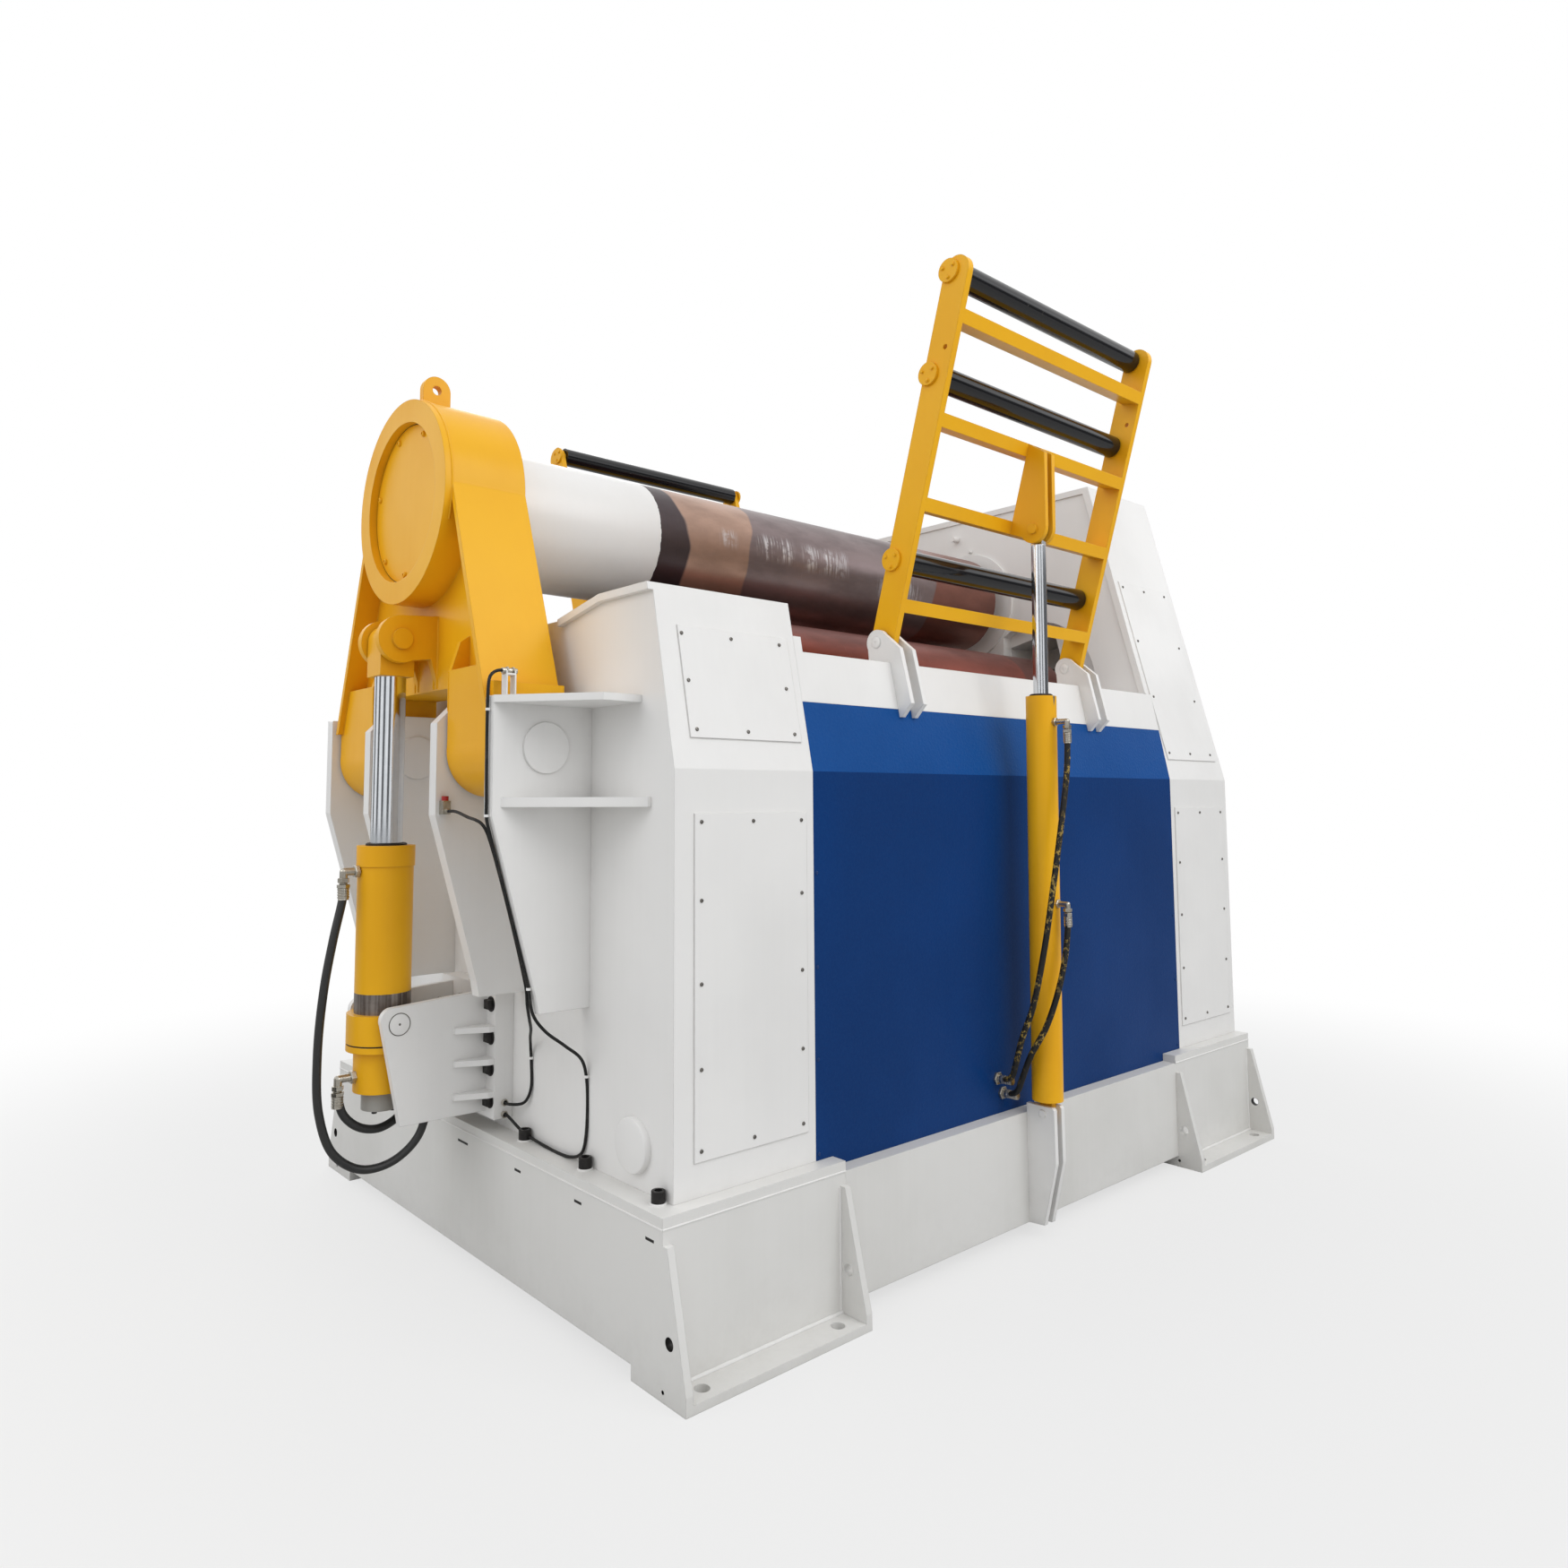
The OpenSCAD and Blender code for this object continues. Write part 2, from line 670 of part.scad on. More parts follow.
// Outline of the bent plate, grown inwards by `inset`.
module wrap_profile(inset) {
    r = ring_r - inset;
    translate([0, roll_axis_z]) circle(r = r);
    polygon([[-r, roll_axis_z], [r, roll_axis_z], [leg_out_y - inset, leg_low_z],
        [-leg_out_y + inset, leg_low_z]]);
}

module drop_leg() {
    // hub and the box above it
    rod_y(hub_r, -leg_out_y, -leg_in_y, hinge_x, hinge_z);
    along_y(-leg_out_y, -leg_in_y) polygon([[leg_face_x, hinge_z], [leg_face_x, leg_box_z - 60],
        [ring_in_x, leg_box_z - 60], [ring_in_x, hinge_z + 60], [ring_in_x + 20, hinge_z]]);
}

module drop_end() {
    color(yellow) {
        difference() {
            union() {
                // bent plate
                along_x(wrap_out_x, ring_in_x) difference() {
                    wrap_profile(0);
                    wrap_profile(wrap_t);
                }
                // closed box from the web to the inner plate, and bearing housing
                along_x(web_x, ring_in_x) wrap_profile(wrap_t / 2);
                rod_x(ring_r, ring_out_x, ring_in_x, 0, roll_axis_z);
                // leg boxes, up to the level where the web shows
                both_sides() along_x(leg_face_x, ring_in_x) intersection() {
                    wrap_profile(wrap_t / 2);
                    translate([-leg_out_y, leg_low_z]) square([leg_out_y - leg_in_y, leg_box_z - leg_low_z]);
                }
                // ribs that carry a leg's inner wall up the web
                both_sides() along_y(-leg_in_y - wrap_t, -leg_in_y)
                    polygon([[leg_face_x, leg_box_z - eps], [web_x + eps, leg_box_z - eps],
                        [web_x + eps, leg_box_z + 120], [leg_face_x + 30, leg_box_z + 95]]);
                both_sides() drop_leg();
            }
            // free space between the legs, under the web
            along_x(leg_face_x - eps, ring_in_x + 60) translate([-leg_in_y, hinge_z - hub_r - eps])
                square([2 * leg_in_y, web_low_z - hinge_z + hub_r + eps]);
            both_sides() rod_y(hinge_pin_r + fit, -leg_out_y - eps, -leg_in_y + eps, hinge_x, hinge_z);
            // recess of the cover, conical seat and the free bore behind it
            rod_x(cover_r, ring_out_x - eps, ring_out_x + recess_depth, 0, roll_axis_z);
            rod_x(journal_r, ring_out_x + recess_depth - eps, ring_in_x - seat_len, 0, roll_axis_z);
            translate([ring_in_x - seat_len - eps, 0, roll_axis_z]) rotate([0, 90, 0])
                cylinder(r1 = journal_r + seat_gap - (seat_len + journal_gap + eps) * journal_slope,
                    r2 = journal_r + seat_gap - (journal_gap - eps) * journal_slope, h = seat_len + 2 * eps);
        }
        lifting_eye();
        rod_lugs();
    }
}

module lifting_eye() {
    x_mid = ring_in_x - 173;
    top = roll_axis_z + ring_r;
    along_y(-15, 15) difference() {
        union() {
            translate([x_mid - 52, top - 10]) square([104, 85]);
            translate([x_mid, top + 72]) circle(r = 52);
        }
        translate([x_mid, top + 73]) circle(r = 17);
    }
}

module rod_lugs() {
    both_sides() {
        along_y(-lug_y - lug_t, -lug_y) {
            polygon([[drop_cyl_x, drop_pin_z + lug_r], [web_x + eps, drop_pin_z + lug_r + 10],
                [web_x + eps, web_low_z + 25], [web_x - 25, drop_pin_z - 62],
                [drop_cyl_x + 40, drop_pin_z - 71], [drop_cyl_x, drop_pin_z - lug_r + 4]]);
            translate([drop_cyl_x, drop_pin_z]) circle(r = lug_r);
        }
        rod_y(36, -lug_y - lug_t - 12, -lug_y - lug_t + eps, drop_cyl_x, drop_pin_z);
    }
}

module drop_cover() {
    inner_x = ring_out_x + recess_depth;
    color(yellow) rod_x(cover_r - 3, inner_x - 20, inner_x, 0, roll_axis_z);
}

// ---- drop-end cylinder ----
drop_gland_r = drop_rod_r + fit;
drop_bore_r = 70;
drop_barrel_top_z = trunnion_z + 582;
drop_bore_low_z = trunnion_z - 95;
rod_eye_r = 60;
port_reach = 52;                // elbows, from the barrel's skin to the hose
drop_port_z = trunnion_z + 497;
drop_low_port_z = trunnion_z - 180;

module drop_barrel() {
    x = drop_cyl_x;
    color(yellow) difference() {
        union() {
            translate([x, 0, trunnion_z]) cylinder(r = drop_barrel_r, h = drop_barrel_top_z - trunnion_z);
            translate([x, 0, drop_barrel_top_z - 70]) cylinder(r = drop_barrel_r + 4, h = 70);
            translate([x, 0, trunnion_z - 72]) cylinder(r = collar_r, h = 96);
            translate([x, 0, trunnion_z - 97]) cylinder(r = collar_r, h = 20);
            translate([x, 0, trunnion_z - 233]) cylinder(r = drop_barrel_r - 2, h = 240);
            rod_y(trunnion_r, -ear_y - ear_t + fit, ear_y + ear_t - fit, x, trunnion_z);
        }
        translate([x, 0, drop_bore_low_z])
            cylinder(r = drop_bore_r, h = drop_barrel_top_z - 60 - drop_bore_low_z);
        translate([x, 0, drop_barrel_top_z - 61]) cylinder(r = drop_gland_r, h = 62);
    }
    color("gray") translate([x, 0, trunnion_z - 294]) cylinder(r = 62, h = 62);
    color(steel) {
        elbow(drop_port_z);
        elbow(drop_low_port_z);
    }
}

// Elbow fitting on the barrel's outer side that turns down to its hose.
module elbow(z) {
    x1 = drop_cyl_x - drop_barrel_r - port_reach;
    rod_x(13, x1, drop_cyl_x - drop_barrel_r + 6, 0, z);
    translate([x1, 0, z]) sphere(r = 13);
    translate([x1, 0, z - 40]) cylinder(r = 13, h = 40);
}

module drop_rod() {
    piston_z = drop_barrel_top_z - 190;
    color("lightsteelblue") translate([drop_cyl_x, 0, piston_z])
        cylinder(r = drop_rod_r, h = drop_pin_z - 110 - piston_z);
    color("gray") translate([drop_cyl_x, 0, piston_z]) cylinder(r = drop_bore_r - fit, h = 60);
    color(yellow) {
        rod_y(rod_eye_r, -lug_y + 4, lug_y - 4, drop_cyl_x, drop_pin_z);
        block([drop_cyl_x - rod_eye_r, -lug_y + 4, drop_pin_z - 125],
            [drop_cyl_x + rod_eye_r, lug_y - 4, drop_pin_z]);
    }
}

// ---- plate supports ----
cross_h = 50;                   // a cross bar's height along the frame
cross_d = 80;                   // a cross bar's depth
cross_at = [150, 520, 821, 1183];
roller_at = [306, 975, support_len];
roller_out = 30;                // roller axes, from the bars' middle line
axle_r = 20;
cap_r = 42;
lug_at = 525;                   // place of the cylinder's lug along the frame
lug_out = -156;                 // and across it
eye_half = 13;                  // half width of a support cylinder's eyes
eye_gap = 1;                    // gap beside them
ear2_t = 20;                    // plates of the foot and the lug
lug2_r = 55;
rod_eye2_r = 40;

// Place in the YZ plane of a point at `along` and `across` a raised front frame.
function frame_y(along, across) = -support_y - along * sin(support_lean) + across * cos(support_lean);
function frame_z(along, across) = support_z + along * cos(support_lean) + across * sin(support_lean);

// Turns a shape drawn with `across` as X and `along` as Y to its place in the YZ plane.
module frame_place() {
    translate([-support_y, support_z]) rotate(support_lean) children();
}

module support_frame() {
    for (side = [-1, 1]) {
        x = face_mid_x + side * bar_x;
        along_x(x - bar_t / 2, x + bar_t / 2) difference() {
            frame_place() {
                translate([-bar_w / 2, 0]) square([bar_w, support_len]);
                circle(r = bar_w / 2 - 6);
                translate([0, support_len]) circle(r = bar_w / 2);
            }
            frame_place() {
                circle(r = support_pin_r + fit);
                for (s = roller_at) translate([roller_out, s]) circle(r = axle_r + fit);
                translate([-20, 1070]) circle(r = 9);
            }
        }
    }
    x_in = bar_x - bar_t / 2 + eps;
    for (s = cross_at) along_x(face_mid_x - x_in, face_mid_x + x_in) frame_place()
        translate([-bar_w / 2, s - cross_h / 2]) square([cross_d, cross_h]);
    for (off = [-1, 1]) {
        x0 = support_cyl_x + (off > 0 ? eye_half + eye_gap : -eye_half - eye_gap - ear2_t);
        along_x(x0, x0 + ear2_t) frame_place() {
            polygon([[-bar_w / 2 + eps, cross_at[2] + cross_h / 2], [lug_out + 24, cross_at[2] - 3],
                [lug_out - 53, lug_at + 16], [lug_out - 30, lug_at - 46],
                [-bar_w / 2 + eps, cross_at[1] - cross_h / 2]]);
            translate([lug_out, lug_at]) circle(r = lug2_r);
        }
        x1 = off > 0 ? x0 + ear2_t - eps : x0 - 11;
        rod_x(20, x1, x1 + 12, frame_y(lug_at, lug_out), frame_z(lug_at, lug_out));
    }
}

module front_support_frame() {
    color(yellow) support_frame();
}

module rear_support_frame() {
    color(yellow) rear() support_frame();
}

module support_axles() {
    x_out = bar_x + bar_t / 2;
    for (s = roller_at) {
        y = frame_y(s, roller_out);
        z = frame_z(s, roller_out);
        rod_x(axle_r, face_mid_x - x_out, face_mid_x + x_out, y, z);
        for (x = [face_mid_x - x_out - 10, face_mid_x + x_out]) rod_x(cap_r, x, x + 10, y, z);
    }
}

module front_support_axles() {
    color(yellow) support_axles();
}

module rear_support_axles() {
    color(yellow) rear() support_axles();
}

module support_roller(s) {
    x_in = bar_x - bar_t / 2 - clear;
    difference() {
        rod_x(roller_r, face_mid_x - x_in, face_mid_x + x_in, frame_y(s, roller_out), frame_z(s, roller_out));
        rod_x(axle_r + fit, face_mid_x - x_in - eps, face_mid_x + x_in + eps,
            frame_y(s, roller_out), frame_z(s, roller_out));
    }
}

module front_roller_low() {
    color("dimgray") support_roller(roller_at[0]);
}

module front_roller_mid() {
    color("dimgray") support_roller(roller_at[1]);
}

module front_roller_top() {
    color("dimgray") support_roller(roller_at[2]);
}

module rear_support_rollers() {
    color("dimgray") rear() for (s = roller_at) support_roller(s);
}

// ---- support cylinders ----
lug_y_pos = frame_y(lug_at, lug_out);
lug_z_pos = frame_z(lug_at, lug_out);
support_cyl_len = norm([lug_y_pos + foot_pin_y, lug_z_pos - foot_pin_z]);
support_cyl_lean = atan2(-(lug_y_pos + foot_pin_y), lug_z_pos - foot_pin_z);
foot_pin_r = 14;
foot_eye_r = 26;
barrel_from = 46;               // lower end of the barrel, above its pin
support_bore_r = 44;

// Puts a shape drawn upwards from the lower pin in its place.
module support_cyl_place() {
    translate([support_cyl_x, -foot_pin_y, foot_pin_z]) rotate([support_cyl_lean, 0, 0]) children();
}

module cylinder_foot() {
    for (off = [-1, 1]) {
        x0 = support_cyl_x + (off > 0 ? eye_half + eye_gap : -eye_half - eye_gap - ear2_t);
        along_x(x0, x0 + ear2_t) polygon([[-base_y, base_gap + 3], [-base_y, foot_pin_z + 28],
            [-foot_pin_y - 40, foot_pin_z + 28], [-foot_pin_y - 48, foot_pin_z + 20],
            [-foot_pin_y - 50, foot_pin_z - 170], [-foot_pin_y + 4, base_gap + 8]]);
    }
    rod_x(foot_pin_r, support_cyl_x - eye_half - eye_gap - ear2_t - 5,
        support_cyl_x + eye_half + eye_gap + ear2_t + 5, -foot_pin_y, foot_pin_z);
}

module front_cylinder_foot() {
    color(white) cylinder_foot();
}

module rear_cylinder_foot() {
    color(white) rear() cylinder_foot();
}

module support_barrel() {
    support_cyl_place() {
        difference() {
            translate([0, 0, barrel_from])
                cylinder(r = support_barrel_r, h = support_barrel_len - barrel_from);
            translate([0, 0, 700]) cylinder(r = support_bore_r, h = support_barrel_len - 50 - 700);
            translate([0, 0, support_barrel_len - 51]) cylinder(r = support_rod_r + fit, h = 52);
        }
        difference() {
            union() {
                rod_x(foot_eye_r, -eye_half, eye_half, 0, 0);
                block([-eye_half, -foot_eye_r, 0], [eye_half, foot_eye_r, barrel_from + eps]);
            }
            rod_x(foot_pin_r + fit, -eye_half - eps, eye_half + eps, 0, 0);
        }
    }
}

module front_support_barrel() {
    color(yellow) support_barrel();
    color(steel) for (h = support_hose_starts) {
        rod_y(10, h[1], h[1] + h[3], support_cyl_x, h[2] + 30);
        translate([support_cyl_x, h[1], h[2] + 30]) sphere(r = 10);
        translate([support_cyl_x, h[1], h[2]]) cylinder(r = 10, h = 30);
    }
}

module rear_support_barrel() {
    color(yellow) rear() support_barrel();
}

module support_rod() {
    piston = support_barrel_len - 170;
    shaft_end = support_cyl_len - lug2_r - clear;
    support_cyl_place() {
        translate([0, 0, piston]) cylinder(r = support_rod_r, h = shaft_end - piston);
        block([-eye_half, -support_rod_r + 3, shaft_end - eps],
            [eye_half, support_rod_r - 3, support_cyl_len]);
        translate([0, 0, piston]) cylinder(r = support_bore_r - fit, h = 50);
        rod_x(rod_eye2_r, -eye_half, eye_half, 0, support_cyl_len);
    }
}

module front_support_rod() {
    color("lightsteelblue") support_rod();
}

module rear_support_rod() {
    color("lightsteelblue") rear() support_rod();
}

// ---- hoses ----
drop_hose_d = 28;
support_hose_d = 22;
hose_sides = 10;

drop_elbow_x = drop_cyl_x - drop_barrel_r - port_reach;
// The upper hose hangs in a low loop outside the cylinder and rises between the ears to its union.
drop_upper_route = [
    [drop_elbow_x, 0, drop_port_z - 40], [drop_elbow_x, 0, 1290], [-2232, 0, 1150], [-2258, 0, 990],
    [-2273, 0, 780], [-2264, -4, 590], [-2218, -14, 460], [-2130, -26, 396], [-2030, -40, 404],
    [-1946, -51, 472], [-1914, -55, 600], [-1916, -55, 781], [-1901, -55, 837], [-1860, -55, 878],
    [-1804, -55, hose_union_z], [pad_x - pad_union_len - fit, -55, hose_union_z]
];
drop_lower_route = [
    [drop_elbow_x, 0, drop_low_port_z - 40], [drop_elbow_x, 0, 648], [-2185, 0, 578], [-2134, -2, 528],
    [-2065, 2, 509], [-1996, 14, 528], [-1945, 26, 578], [-1926, 32, 648], [-1916, 32, 781],
    [-1901, 32, 837], [-1860, 32, 878], [-1804, 32, hose_union_z],
    [pad_x - pad_union_len - fit, 32, hose_union_z]
];
// The support cylinder's hoses cross in front of its barrel and end at unions on the panel.
support_upper_route = [
    [-40, -1385, 1865], [-40, -1385, 1830], [-56, -1388, 1700], [-100, -1385, 1500], [-150, -1380, 1290],
    [-192, -1362, 1060], [-217, -1326, 860], [-221, -1282, 750], [-210, -1243, 648], [-194, -1214, 596],
    [-181, -1178, 575], [-175, -1157, 572], [-175, -stand_y - union_len - fit, 572]
];
support_lower_route = [
    [-40, -1366, 1188], [-40, -1366, 1155], [-60, -1365, 1040], [-98, -1357, 915], [-142, -1331, 785],
    [-174, -1284, 680], [-172, -1243, 591], [-162, -1214, 539], [-151, -1178, 518], [-146, -1157, 515],
    [-146, -stand_y - union_len - fit, 515]
];
// The sensor's cable follows the front cheek's edge and the stand's side down to the pad.
sensor_cable_route = [
    [sensor_x[0] - fit, sensor_y, sensor_z], [sensor_x[0] - 6, sensor_y, sensor_z],
    [-2012, -672, 1996], [-2026, -672, 1982], [-2031, -672, 1960],
    [-2032, -672, 1600], [-2031, -672, 1555], [-2017, -672, 1498], [-1883, -672, 1038], [-1866, -674, 955],
    [-1829, -682, 903], [-1762, -690, 850], [-1703, -691, 800], [-1683, -690, 735], [-1683, -688, 560],
    [-1685, -668, 508], [-1689, -610, 483], [-1690, -400, 483], [-1698, -310, 500],
    [cable_gland_x, -240, cable_gland_z[0]], [cable_gland_x, -pad_y - gland_len - fit, cable_gland_z[0]]
];
// The switch's cable joins it on the cheek's edge and leaves it at the lower end.
switch_cable_route = [
    [switch_x, switch_y - gland_len - fit, switch_z], [-1999, -390, 1572], [-2028, -550, 1554],
    [-2036, -618, 1546], [-2031, -642, 1536], [-2020, -656, 1510], [-1883, -658, 1038],
    [-1871, -646, 985], [-1835, -598, 925],
    [-1790, -528, 882], [-1726, -412, 826], [-1694, -358, 788], [-1683, -344, 735], [-1684, -346, 640],
    [-1692, -318, 592], [cable_gland_x, -246, cable_gland_z[1]],
    [cable_gland_x, -pad_y - gland_len - fit, cable_gland_z[1]]
];
// Places of the unions on the panel, and the start of each hose with its elbow's reach.
support_hose_ends = [[-175, 572], [-146, 515]];
support_hose_starts = [[0, -1385, 1865, 60], [0, -1366, 1188, 48]];

// Unit vector along a.
function unit(a) = a / norm(a);
// Direction of the route p at its point i.
function heading(p, i) = unit(p[min(i + 1, len(p) - 1)] - p[max(i - 1, 0)]);
// Direction at the ends: along the first and the last stretch.
function tangent(p, i) = i == 0 ? unit(p[1] - p[0]) : i == len(p) - 1 ? unit(p[i] - p[i - 1]) : heading(p, i);
// A direction square to t that turns with the route without twist, from a fixed reference.
function across_dir(t) = unit(cross(t, abs(t[1]) < 0.9 ? [0, 1, 0] : [1, 0, 0]));
// First side direction, then each next one carried along from the one before.
function side_dirs(p, i, prev) = i >= len(p) ? [] :
    let (t = tangent(p, i), s = unit(prev - (prev * t) * t)) concat([s], side_dirs(p, i + 1, s));
function ring_points(c, t, s, r) = let (b = cross(t, s))
    [for (k = [0 : hose_sides - 1]) c + r * (cos(360 * k / hose_sides) * s + sin(360 * k / hose_sides) * b)];

// Round tube of diameter d along the points p.
module hose(p, d) {
    n = len(p);
    sides = side_dirs(p, 0, across_dir(tangent(p, 0)));
    points = [for (i = [0 : n - 1]) each ring_points(p[i], tangent(p, i), sides[i], d / 2)];
    walls = [for (i = [0 : n - 2]) for (k = [0 : hose_sides - 1]) let (m = (k + 1) % hose_sides)
        [i * hose_sides + k, (i + 1) * hose_sides + k, (i + 1) * hose_sides + m, i * hose_sides + m]];
    ends = [[for (k = [0 : hose_sides - 1]) k],
        [for (k = [hose_sides - 1 : -1 : 0]) (n - 1) * hose_sides + k]];
    polyhedron(points, concat(walls, ends));
}

module drop_hose_upper() {
    color("black") hose(drop_upper_route, drop_hose_d);
}

module drop_hose_lower() {
    color("black") hose(drop_lower_route, drop_hose_d);
}

module support_hose_upper() {
    color("black") hose(support_upper_route, support_hose_d);
}

module support_hose_lower() {
    color("black") hose(support_lower_route, support_hose_d);
}

module sensor_cable() {
    color("black") hose(sensor_cable_route, sensor_cable_d);
}

module switch_cable() {
    color("black") hose(switch_cable_route, sensor_cable_d);
}

base_end_left();
base_end_right();
base_beam_front();
base_beam_rear();
left_stand();
right_stand();
stand_covers();
front_panel();
rear_panel();
front_tie_beam();
rear_tie_beam();
cheeks_front();
cheeks_rear();
trunnion_bracket();
right_bearing_ring();
top_gearbox();
bottom_gearbox();
front_cylinder_foot();
rear_cylinder_foot();
top_roll();
bottom_roll();
bottom_roll_blocks();
front_side_roll();
front_side_blocks();
rear_side_roll();
rear_side_blocks();
drop_end();
drop_cover();
drop_barrel();
drop_rod();
front_support_frame();
front_support_axles();
front_roller_top();
front_roller_mid();
front_roller_low();
front_support_barrel();
front_support_rod();
rear_support_frame();
rear_support_axles();
rear_support_rollers();
rear_support_barrel();
rear_support_rod();
drop_hose_upper();
drop_hose_lower();
support_hose_upper();
support_hose_lower();
sensor_cable();
switch_cable();
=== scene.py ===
"""Looks of a four-roll plate bending machine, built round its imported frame.

Fittings are drawn in millimetres; meshes and the coordinates in materials are in metres.
"""

import logging
import math
from collections.abc import Callable, Sequence
from dataclasses import dataclass, replace
from enum import Enum

import bmesh
import bpy
from mathutils import Matrix, Vector


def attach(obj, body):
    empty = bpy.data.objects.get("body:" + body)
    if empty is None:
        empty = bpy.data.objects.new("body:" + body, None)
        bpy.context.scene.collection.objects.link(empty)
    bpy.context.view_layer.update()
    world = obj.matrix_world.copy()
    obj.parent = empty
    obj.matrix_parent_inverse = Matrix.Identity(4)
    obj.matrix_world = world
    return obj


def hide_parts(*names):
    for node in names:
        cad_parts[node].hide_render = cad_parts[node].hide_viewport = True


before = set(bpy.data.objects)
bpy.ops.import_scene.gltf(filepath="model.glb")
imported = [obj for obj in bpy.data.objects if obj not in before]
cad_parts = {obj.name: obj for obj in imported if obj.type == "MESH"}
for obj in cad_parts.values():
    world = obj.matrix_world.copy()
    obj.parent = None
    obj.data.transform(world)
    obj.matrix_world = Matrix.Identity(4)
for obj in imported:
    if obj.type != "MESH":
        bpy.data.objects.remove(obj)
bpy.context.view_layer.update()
LOG = logging.getLogger("plate_roll")

Pair = tuple[float, float]
Point = tuple[float, float, float]
Color = tuple[float, float, float, float]
Socket = bpy.types.NodeSocket

FRONT, REAR = (0, -1, 0), (0, 1, 0)
LEFT, RIGHT = (-1, 0, 0), (1, 0, 0)
UP, DOWN = (0, 0, 1), (0, 0, -1)
SIDES = (-1, 1)
SINK = -0.4  # height of a fitting's foot, a little inside what it stands on
FAR = 9.0    # a bound beyond every piece, in metres
BEAD_STEP, RIPPLE_DEPTH, RIPPLE_RATE = 0.02, 0.08, 230.0


# ---------------------------------------------------------------- geometry

def mm(x: float, y: float, z: float) -> Vector:
    """The place in metres of coordinates in millimetres."""
    return Vector((x, y, z)) * 0.001


def aim(centre: Vector, axis: Sequence[float], twist: float = 0.0) -> Matrix:
    """A placing matrix for a part that is drawn along its own Z.

    Args:
        centre: Where the part's origin goes, in metres.
        axis: Direction that the part's Z turns to.
        twist: Turn about that axis, in degrees.

    Returns:
        The 4x4 matrix of the place.
    """
    turn = Vector(axis).to_track_quat("Z", "Y").to_matrix().to_4x4()
    return Matrix.Translation(centre) @ turn @ Matrix.Rotation(math.radians(twist), 4, "Z")


def circle_places(centre: Vector, axis: Sequence[float], radius: float, count: int,
                  start: float | None = None) -> list[Matrix]:
    """Places evenly round a circle, each with Z along the axis.

    Args:
        centre: Middle of the circle, in metres.
        axis: The circle's axis.
        radius: Radius in millimetres.
        count: Number of places.
        start: Angle of the first one, in degrees; half a step when it is left out.

    Returns:
        One matrix for each place.
    """
    hub, out = aim(centre, axis), Matrix.Translation((radius / 1000, 0, 0))
    first = math.radians(180 / count if start is None else start)
    return [hub @ Matrix.Rotation(first + math.tau * k / count, 4, "Z") @ out
            for k in range(count)]


def spokes(count: int) -> list[Pair]:
    """Cosine and sine of evenly spaced directions."""
    return [(math.cos(math.tau * k / count), math.sin(math.tau * k / count)) for k in range(count)]


def between(a: Vector, b: Vector, start: float, end: float, at: float) -> Vector:
    """The point at a parameter of the line that is at a for start and at b for end."""
    return a * ((end - at) / (end - start)) + b * ((at - start) / (end - start))


def smooth_route(points: Sequence[Vector], step: float = 0.012) -> list[Vector]:
    """Runs one smooth curve through route points.

    Args:
        points: Route points in metres.
        step: Greatest distance between the points of the result.

    Returns:
        Points along a centripetal curve that passes every route point.
    """
    ends = [points[0] * 2 - points[1], *points, points[-1] * 2 - points[-2]]
    levels = (((0, 1), (1, 2), (2, 3)), ((0, 2), (1, 3)), ((1, 2),))
    line: list[Vector] = []
    for four in zip(ends, ends[1:], ends[2:], ends[3:]):
        knots = [0.0]
        for a, b in zip(four, four[1:]):
            knots.append(knots[-1] + max((b - a).length, 1e-6) ** 0.5)
        count = max(1, math.ceil((four[2] - four[1]).length / step))
        for i in range(count):
            at, held = knots[1] + (knots[2] - knots[1]) * i / count, four
            for level in levels:
                held = [between(a, b, knots[low], knots[high], at)
                        for a, b, (low, high) in zip(held, held[1:], level)]
            line.append(held[0])
    return [*line, points[-1].copy()]


def new_object(name: str, data: bpy.types.ID) -> bpy.types.Object:
    """Puts a new object in the scene.

    Args:
        name: Name of the object.
        data: Its mesh, light or camera.

    Returns:
        The object.
    """
    made = bpy.data.objects.new(name, data)
    bpy.context.scene.collection.objects.link(made)
    return made


